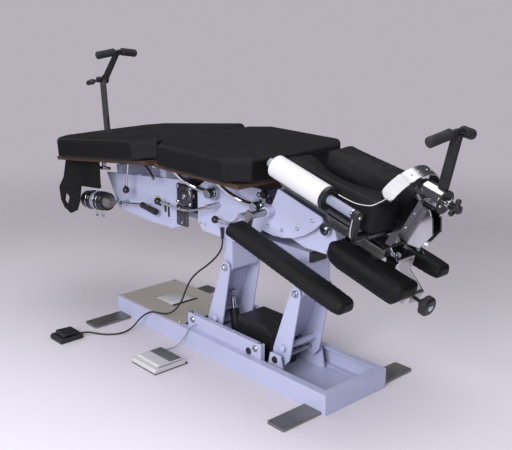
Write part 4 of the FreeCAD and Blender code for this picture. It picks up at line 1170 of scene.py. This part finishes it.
class TABLE_OT_fasteners(bpy.types.Operator):
    """Set the screws, bolts, washers and caps on the frame"""

    bl_idname = "table.fasteners"
    bl_label = "Fasteners"

    def execute(self, context):
        self.sector_screws()
        self.end_screws()
        self.swing_housing()
        self.chassis_fittings()
        self.pin_nuts()
        self.bracket_bolts()
        self.bar_collars()
        return {"FINISHED"}

    def sector_screws(self):
        """Four screws along the arc of each sector plate."""
        reach, face = 0.278, 0.0934
        screws = Shape(HEAD)
        for side in (-1, 1):
            for angle in (-82, -67, -51, -34):
                turn = math.radians(angle)
                screws.screw((reach * math.cos(turn), side * face, reach * math.sin(turn)),
                             (0, side, 0), 0.0058)
        screws.done("sector_screws", "zinc", "head")

    def end_screws(self):
        """Screws on the sheet-metal bracket at the head end, and bolts on the U bracket."""
        start, end = Vector((0.536, 0, -0.096)), Vector((0.586, 0, 0.092))
        run = end - start
        out = Vector((run.z, 0, -run.x)).normalized()
        screws = Shape(HEAD)
        for share, half in ((0.10, 0.052), (0.10, 0.018), (0.42, 0.052), (0.72, 0.052)):
            for side in (-1, 1):
                at = start + run * share + Vector((0, side * half, 0)) + out * 0.0002
                screws.screw(at, out, 0.0042)
        low, high = Vector((0.580, 0, -0.128)), Vector((0.536, 0, -0.096))
        slope = Vector((low.z - high.z, 0, high.x - low.x)).normalized() * -1
        for side in (-1, 1):
            at = low.lerp(high, 0.45) + Vector((0, side * 0.050, 0)) + slope * 0.0002
            screws.bolt(at, slope, 0.0075, 0.0100)
            screws.bolt((0.604, side * 0.0452, -0.236), (0, side, 0), 0.0075, 0.0110)
            screws.bolt((0.552, side * 0.0682, -0.112), (0, side, 0), 0.0065, 0.0090)
        screws.done("end_bracket_screws", "zinc", "head")

    def swing_housing(self):
        """The cast housing in front of the flexion pivot, with its bolts."""
        cast = Shape()
        cast.block((-0.262, -0.0965, 0.556), (-0.166, -0.0856, 0.640), 0.007)
        cast.block((-0.268, -0.0935, 0.468), (-0.196, -0.0856, 0.552), 0.006)
        cast.block((-0.248, -0.0955, 0.478), (-0.216, -0.0930, 0.544), 0.001)
        cast.turned([(0.040, 0), (0.040, 0.003), (0.037, 0.006), (0.030, 0.006)],
                    (-0.206, -0.0945, 0.598), (0, -1, 0), 40)
        cast.turned([(0.030, 0), (0.030, 0.004), (0.026, 0.007), (0.018, 0.007),
                     (0.018, 0.010), (0.013, 0.012)], (-0.200, -0.0962, 0.598), (0, -1, 0), 40)
        cast.done("swing_housing", "dark_steel", "caudal")
        bolts = Shape()
        outward = (0, -1, 0)
        for x, z in ((-0.252, 0.630), (-0.252, 0.567), (-0.174, 0.567), (-0.174, 0.630)):
            bolts.bolt((x, -0.0966, z), outward, 0.0060, 0.0080)
        for x, z in ((-0.246, 0.540), (-0.216, 0.540), (-0.231, 0.482)):
            bolts.screw((x, -0.0936, z), outward, 0.0060)
        bolts.turned([(0.0120, 0), (0.0120, 0.0035), (0.0100, 0.0048)],
                     (-0.200, -0.1080, 0.598), outward, 6)
        bolts.done("swing_bolts", "zinc", "caudal")

    def chassis_fittings(self):
        """Small pieces on the plates: slot liners, the latch, locking knobs and wires."""
        liners = Shape()
        liners.block((-0.3575, -0.0868, 0.500), (-0.3445, -0.0800, 0.540), 0.0008)
        liners.block((-0.3345, -0.0868, 0.483), (-0.3235, -0.0800, 0.542), 0.0008)
        liners.block((-0.4180, -0.0895, 0.520), (-0.3800, -0.0852, 0.546), 0.0015)
        liners.done("slot_liners", "black_plastic", "caudal")
        tab = Shape()
        tab.block((-0.4120, -0.0915, 0.546), (-0.3860, -0.0852, 0.556), 0.0012)
        tab.done("latch_tab", "green_plastic", "caudal")
        face, outward = -0.0802, (0, -1, 0)
        knobs = Shape()
        for x, z in ((0.238, 0.684), (0.266, 0.668)):
            knobs.turned([(0.0080, 0), (0.0140, 0.003), (0.0140, 0.012), (0.0120, 0.015),
                          (0.0050, 0.016)], (x, face, z), outward, 24)
        knobs.done("locking_knobs", "black_plastic", "chassis")
        metal = Shape()
        for x, z in ((0.205, 0.676), (0.295, 0.640)):
            metal.bolt((x, face, z), outward, 0.0075, 0.0105)
        for x in (-0.128, -0.100):
            metal.screw((x, face, 0.500), outward, 0.0050)
        metal.done("chassis_bolts", "zinc", "chassis")
        strut = Shape()
        strut.sweep([(-0.440, -0.140, 0.735), (-0.425, -0.145, 0.705), (-0.380, -0.150, 0.688),
                     (-0.352, -0.150, 0.665), (-0.334, -0.150, 0.646)], 0.0055, 12)
        strut.done("release_strut", "zinc", "carriage")

    def pin_nuts(self):
        """Nuts on the lift arms' upper pins, and caps on the arms' lower hubs."""
        lean, arm = math.radians(15.15), 0.2755
        low_z = JOINTS["lift"]["pos_m"][2]
        for joint, body in (("lift", "foot"), ("head_arm_turn", "head")):
            x = JOINTS[joint]["pos_m"][0]
            top = Shape()
            at = (x + math.sin(lean) * arm, low_z + math.cos(lean) * arm)
            for side in (-1, 1):
                top.bolt((at[0], side * 0.0862, at[1]), (0, side, 0), 0.0105, 0.0130)
            top.done(body + "_pin_nuts", "zinc", "chassis")
            hub = Shape()
            for side in (-1, 1):
                stub = Vector((x + math.sin(lean) * 0.046 + math.cos(lean) * 0.006,
                               side * 0.0922,
                               low_z + math.cos(lean) * 0.046 - math.sin(lean) * 0.006))
                hub.turned([(0.0125, -0.010), (0.0135, -0.002), (0.0135, 0.001),
                            (0.0105, 0.003), (0.0040, 0.0034)], stub, (0, side, 0), 28)
            hub.done(body + "_arm_caps", "grey_paint", body + "_arm")

    def bracket_bolts(self):
        """Caps on the pivot brackets, and bolts and a plug on the base."""
        rail_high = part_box("side_brackets")[1].z
        low_z = JOINTS["lift"]["pos_m"][2]
        edge = 0.1278
        caps = Shape()
        for x in (0.205, 0.325):
            for side in (-1, 1):
                caps.turned([(0.0125, 0.0), (0.0135, 0.0015), (0.0125, 0.0045),
                             (0.0080, 0.0058), (0.0030, 0.0060)],
                            (x, side * (edge if x < 0.27 else 0.1078), low_z - 0.002),
                            (0, side, 0), 28)
        caps.done("rail_caps", "black_plastic", "base")
        bolts = Shape()
        for x in (-0.148, 0.258):
            for side in (-1, 1):
                bolts.bolt((x, side * 0.118, rail_high + 0.0002), (0, 0, 1), 0.0060, 0.0085)
        cover_low, cover_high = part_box("cover_plate")
        for x in (cover_low.x + 0.02, cover_high.x - 0.02):
            for side in (-1, 1):
                bolts.screw((x, side * (cover_high.y - 0.014), cover_high.z), (0, 0, 1), 0.0045)
        bolts.done("base_bolts", "zinc", "base")
        plug = Shape()
        plug.turned([(0.0065, 0.0), (0.0070, 0.001), (0.0070, 0.006), (0.0045, 0.008),
                     (0.002, 0.0082)], (-0.6236, -0.122, 0.058), (-1, 0, 0), 24)
        plug.done("base_plug", "black_plastic", "base")

    def bar_collars(self):
        """Collars where the support bars' clamps meet the chassis."""
        collars = Shape()
        for start in (-0.030, 0.226):
            for side in (-1, 1):
                collars.turned([(0.0150, 0.0), (0.0175, 0.0015), (0.0180, 0.009),
                                (0.0175, 0.0205), (0.0150, 0.0220)],
                               (start + 0.006, side * 0.1115, 0.645), (0, side, 0), 28)
        collars.done("bar_collars", "black_plastic", "chassis")


class TABLE_OT_labels(bpy.types.Operator):
    """Lay the bare tag and the slot cover on the base's plate, and the bare tag of the unit"""

    bl_idname = "table.labels"
    bl_label = "Bare tags"

    def execute(self, context):
        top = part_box("cover_plate")[1].z
        tag = Shape()
        tag.block((-0.482, -0.050, top), (-0.372, 0.062, top + 0.0008), 0.0003)
        tag.done("cover_tag", "white_plastic", "base")
        slot = Shape()
        slot.block((-0.368, -0.052, top), (-0.354, 0.078, top + 0.0012), 0.0004)
        slot.done("cover_slot", "black_plastic", "base")
        unit_low, unit_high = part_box("power_unit_cover")
        plain = Shape()
        plain.block((unit_high.x - 0.0001, -0.045, unit_low.z + 0.078),
                    (unit_high.x + 0.0010, -0.012, unit_low.z + 0.128), 0.0003)
        plain.done("unit_tag", "white_plastic", "base")
        return {"FINISHED"}


class TABLE_OT_pedals(bpy.types.Operator):
    """Finish the two foot switches and lay their cord and cable"""

    bl_idname = "table.pedals"
    bl_label = "Foot switches and cords"

    def execute(self, context):
        sizes = context.scene.table_sizes
        low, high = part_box("white_pedal_treadle")
        rim, long, rib_count, rib_step = 0.004, 0.056, 9, 0.0055
        pad = Shape()
        pad.block((low.x + rim, high.y - long, high.z - 0.004),
                  (high.x - rim, high.y - rim, high.z + 0.0006), 0.0008)
        for step in range(rib_count):
            y = high.y - long + 0.003 + step * rib_step
            pad.block((low.x + 2 * rim, y, high.z + 0.0004),
                      (high.x - 2 * rim, y + 0.0022, high.z + 0.0014), 0.0003)
        pad.done("white_switch_pad", "dark_rubber", "white_treadle")
        low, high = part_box("white_pedal_base")
        sole = Shape()
        sole.block((low.x - 0.0008, low.y - 0.0008, low.z),
                   (high.x + 0.0008, high.y + 0.0008, low.z + 0.0045), 0.001)
        sole.done("white_switch_sole", "black_plastic", "base")
        low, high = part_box("black_pedal_treadle")
        rim, rib_count, rib_step = 0.010, 6, 0.0095
        ribs = Shape()
        for step in range(rib_count):
            y = low.y + 0.016 + step * rib_step
            ribs.block((low.x + rim, y, high.z - 0.004),
                       (high.x - rim, y + 0.0035, high.z + 0.0008), 0.0006)
        ribs.done("black_switch_ribs", "black_plastic", "black_treadle")
        cord = self.flex("switch_cord", CORD_ROUTE, sizes.cord_diameter, "black_plastic",
                         "pedal_cord")
        cable = self.flex("switch_cable", CABLE_ROUTE, sizes.cable_diameter, "grey_plastic",
                          "pedal_cable")
        return {"FINISHED"}

    def flex(self, name, route, diameter, finish, node_name):
        """A cord on one smooth line through its route."""
        line = bpy.data.curves.new(name, "CURVE")
        line.dimensions = "3D"
        line.bevel_depth = diameter / 2
        line.bevel_resolution = 4
        line.use_fill_caps = True
        spline = line.splines.new("NURBS")
        spline.points.add(len(route) - 1)
        for point, place in zip(spline.points, route):
            point.co = (*place, 1)
        spline.order_u = 3
        spline.use_endpoint_u = True
        spline.resolution_u = 8
        piece = bpy.data.objects.new(name, line)
        bpy.context.scene.collection.objects.link(piece)
        line.materials.append(finish_of(finish))
        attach(piece, "base")
        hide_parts(node_name)
        return piece


CORD_ROUTE = [(0.012, -0.089, 0.471), (0.0134, -0.089, 0.441), (-0.008, -0.095, 0.400),
              (-0.056, -0.107, 0.352), (-0.106, -0.114, 0.314), (-0.150, -0.121, 0.270),
              (-0.172, -0.130, 0.217), (-0.190, -0.142, 0.158), (-0.240, -0.154, 0.106),
              (-0.306, -0.162, 0.090), (-0.360, -0.168, 0.086), (-0.402, -0.192, 0.052),
              (-0.408, -0.230, 0.012), (-0.406, -0.286, 0.0036), (-0.436, -0.336, 0.0036),
              (-0.478, -0.362, 0.0036), (-0.503, -0.392, 0.012), (-0.503, -0.413, 0.012)]
CABLE_ROUTE = [(-0.104, -0.1275, 0.095), (-0.105, -0.144, 0.096), (-0.112, -0.162, 0.084),
               (-0.126, -0.170, 0.050), (-0.146, -0.188, 0.012), (-0.151, -0.214, 0.005),
               (-0.150, -0.238, 0.008), (-0.150, -0.252, 0.008)]


class TABLE_OT_stage(bpy.types.Operator):
    """Build the studio: floor, backdrop, soft lamps and the camera"""

    bl_idname = "table.stage"
    bl_label = "Studio"

    def execute(self, context):
        colours = context.scene.table_colours
        self.floor(colours)
        self.lamps()
        self.air(colours)
        self.camera()
        context.scene.view_settings.view_transform = "Standard"
        return {"FINISHED"}

    def floor(self, colours):
        """A round floor with painted light: paler near the camera and darker away from it, fading into the air all
        round.
        """
        away = Vector((-0.7096, 0.6467, 0)).normalized()
        floor_radius, solid_to, gone_from = 9.0, 1.5, 3.9
        mesh = bmesh.new()
        bmesh.ops.create_circle(mesh, cap_ends=True, radius=floor_radius, segments=96)
        data = bpy.data.meshes.new("studio_floor")
        mesh.to_mesh(data)
        mesh.free()
        piece = bpy.data.objects.new("studio_floor", data)
        bpy.context.scene.collection.objects.link(piece)
        material = bpy.data.materials.new("Studio floor")
        material.use_nodes = True
        tree = material.node_tree
        shader = tree.nodes["Principled BSDF"]
        shader.inputs["Roughness"].default_value = 0.65
        shader.inputs["Specular IOR Level"].default_value = 0.15
        at = node(tree, "ShaderNodeTexCoord").outputs["Object"]
        # Painted light: the floor's colour goes from pale near the camera to darker away from it, standing in for
        # the lamps' falloff.
        depth = node(tree, "ShaderNodeVectorMath", {0: at, 1: away}, operation="DOT_PRODUCT")
        share = remap(tree, depth.outputs["Value"], -0.9, 1.7)
        # Noise makes the painted light patchy.
        patchy_light_noise = node(tree, "ShaderNodeTexNoise", {"Vector": at, "Scale": 1.3, "Detail": 4})
        cloud = maths(tree, "SUBTRACT", patchy_light_noise.outputs[0], 0.5)
        share = maths(tree, "ADD", share, maths(tree, "MULTIPLY", cloud, 0.10))
        colour = mixed(tree, share, four(colours.floor), four(colours.backdrop))
        tree.links.new(colour, shader.inputs["Base Color"])
        reach = node(tree, "ShaderNodeVectorMath", {0: at}, operation="LENGTH")
        fade = node(tree, "ShaderNodeMapRange", {0: reach.outputs["Value"], 1: solid_to,
                                                 2: gone_from, 3: 1.0, 4: 0.0},
                    interpolation_type="SMOOTHSTEP")
        tree.links.new(fade.outputs[0], shader.inputs["Alpha"])
        data.materials.append(material)

    def lamps(self):
        """Three soft lamps."""
        for name, at, size, power, tint in (
                ("key_softbox", (2.0, -3.9, 2.3), 2.2, 225, (1.0, 0.985, 1.0)),
                ("fill_softbox", (-3.0, -1.8, 2.6), 2.4, 36, (0.96, 0.97, 1.0)),
                ("top_softbox", (0.2, 0.4, 3.8), 3.0, 84, (1.0, 0.99, 1.0))):
            lamp = bpy.data.lights.new(name, "AREA")
            lamp.shape = "SQUARE"
            lamp.size = size
            lamp.energy = power
            lamp.color = tint
            holder = bpy.data.objects.new(name, lamp)
            bpy.context.scene.collection.objects.link(holder)
            holder.location = at
            holder.rotation_euler = (Vector((0, 0, 0.5)) - Vector(at)).to_track_quat(
                "-Z", "Y").to_euler()

    def air(self, colours):
        """Light from all round: the camera sees the backdrop, metal sees a darker room."""
        world = bpy.data.worlds.new("Studio air")
        world.use_nodes = True
        tree = world.node_tree
        light = tree.nodes["Background"]
        light.inputs["Color"].default_value = (0.80, 0.79, 0.86, 1)
        light.inputs["Strength"].default_value = 0.42
        room = node(tree, "ShaderNodeBackground", {"Color": (0.60, 0.60, 0.68, 1),
                                                   "Strength": 0.16})
        wall = node(tree, "ShaderNodeBackground", {"Color": four(colours.air),
                                                   "Strength": 1.0})
        path = node(tree, "ShaderNodeLightPath")
        metal = node(tree, "ShaderNodeMixShader", {0: path.outputs["Is Glossy Ray"],
                                                   1: light.outputs[0], 2: room.outputs[0]})
        seen = node(tree, "ShaderNodeMixShader", {0: path.outputs["Is Camera Ray"],
                                                  1: metal.outputs[0], 2: wall.outputs[0]})
        tree.links.new(seen.outputs[0], tree.nodes["World Output"].inputs["Surface"])
        bpy.context.scene.world = world

    def camera(self):
        """The photograph's viewpoint."""
        azimuth, elevation, roll = (math.radians(angle) for angle in (47.658, 16.234, 0.233))
        forward = Vector((-math.sin(azimuth) * math.cos(elevation),
                          math.cos(azimuth) * math.cos(elevation), -math.sin(elevation)))
        data = bpy.data.cameras.new("photo_camera")
        data.lens = 59.02
        data.sensor_width = 36.0
        camera = bpy.data.objects.new("photo_camera", data)
        bpy.context.scene.collection.objects.link(camera)
        camera.location = (2.334, -2.034, 1.4057)
        turn = forward.to_track_quat("-Z", "Y").to_matrix().to_4x4()
        camera.rotation_euler = (turn @ Matrix.Rotation(roll, 4, "Z")).to_euler()
        bpy.context.scene.camera = camera


class TABLE_PT_panel(bpy.types.Panel):
    """Lists the table's pieces"""

    bl_idname = "TABLE_PT_panel"
    bl_label = "Flexion table"
    bl_space_type = "VIEW_3D"
    bl_region_type = "UI"
    bl_category = "Table"

    def draw(self, context):
        for operator in OPERATORS:
            self.layout.operator(operator.bl_idname)
        for group in (context.scene.table_sizes, context.scene.table_colours):
            for label in group.__annotations__:
                self.layout.prop(group, label)


OPERATORS = (TABLE_OT_finishes, TABLE_OT_cushions, TABLE_OT_head_pads, TABLE_OT_arm_pads,
             TABLE_OT_grips, TABLE_OT_paper, TABLE_OT_ankle_strap, TABLE_OT_motor,
             TABLE_OT_levers, TABLE_OT_knobs, TABLE_OT_fasteners, TABLE_OT_labels,
             TABLE_OT_pedals, TABLE_OT_stage)
CLASSES = (TableSizes, TableColours, *OPERATORS, TABLE_PT_panel)


def register():
    for kind in CLASSES:
        bpy.utils.register_class(kind)
    bpy.types.Scene.table_sizes = PointerProperty(type=TableSizes)
    bpy.types.Scene.table_colours = PointerProperty(type=TableColours)


def unregister():
    del bpy.types.Scene.table_sizes
    del bpy.types.Scene.table_colours
    for kind in reversed(CLASSES):
        bpy.utils.unregister_class(kind)


def main():
    register()
    for operator in OPERATORS:
        section, name = operator.bl_idname.split(".")
        getattr(getattr(bpy.ops, section), name)()


if __name__ == "__main__":
    main()
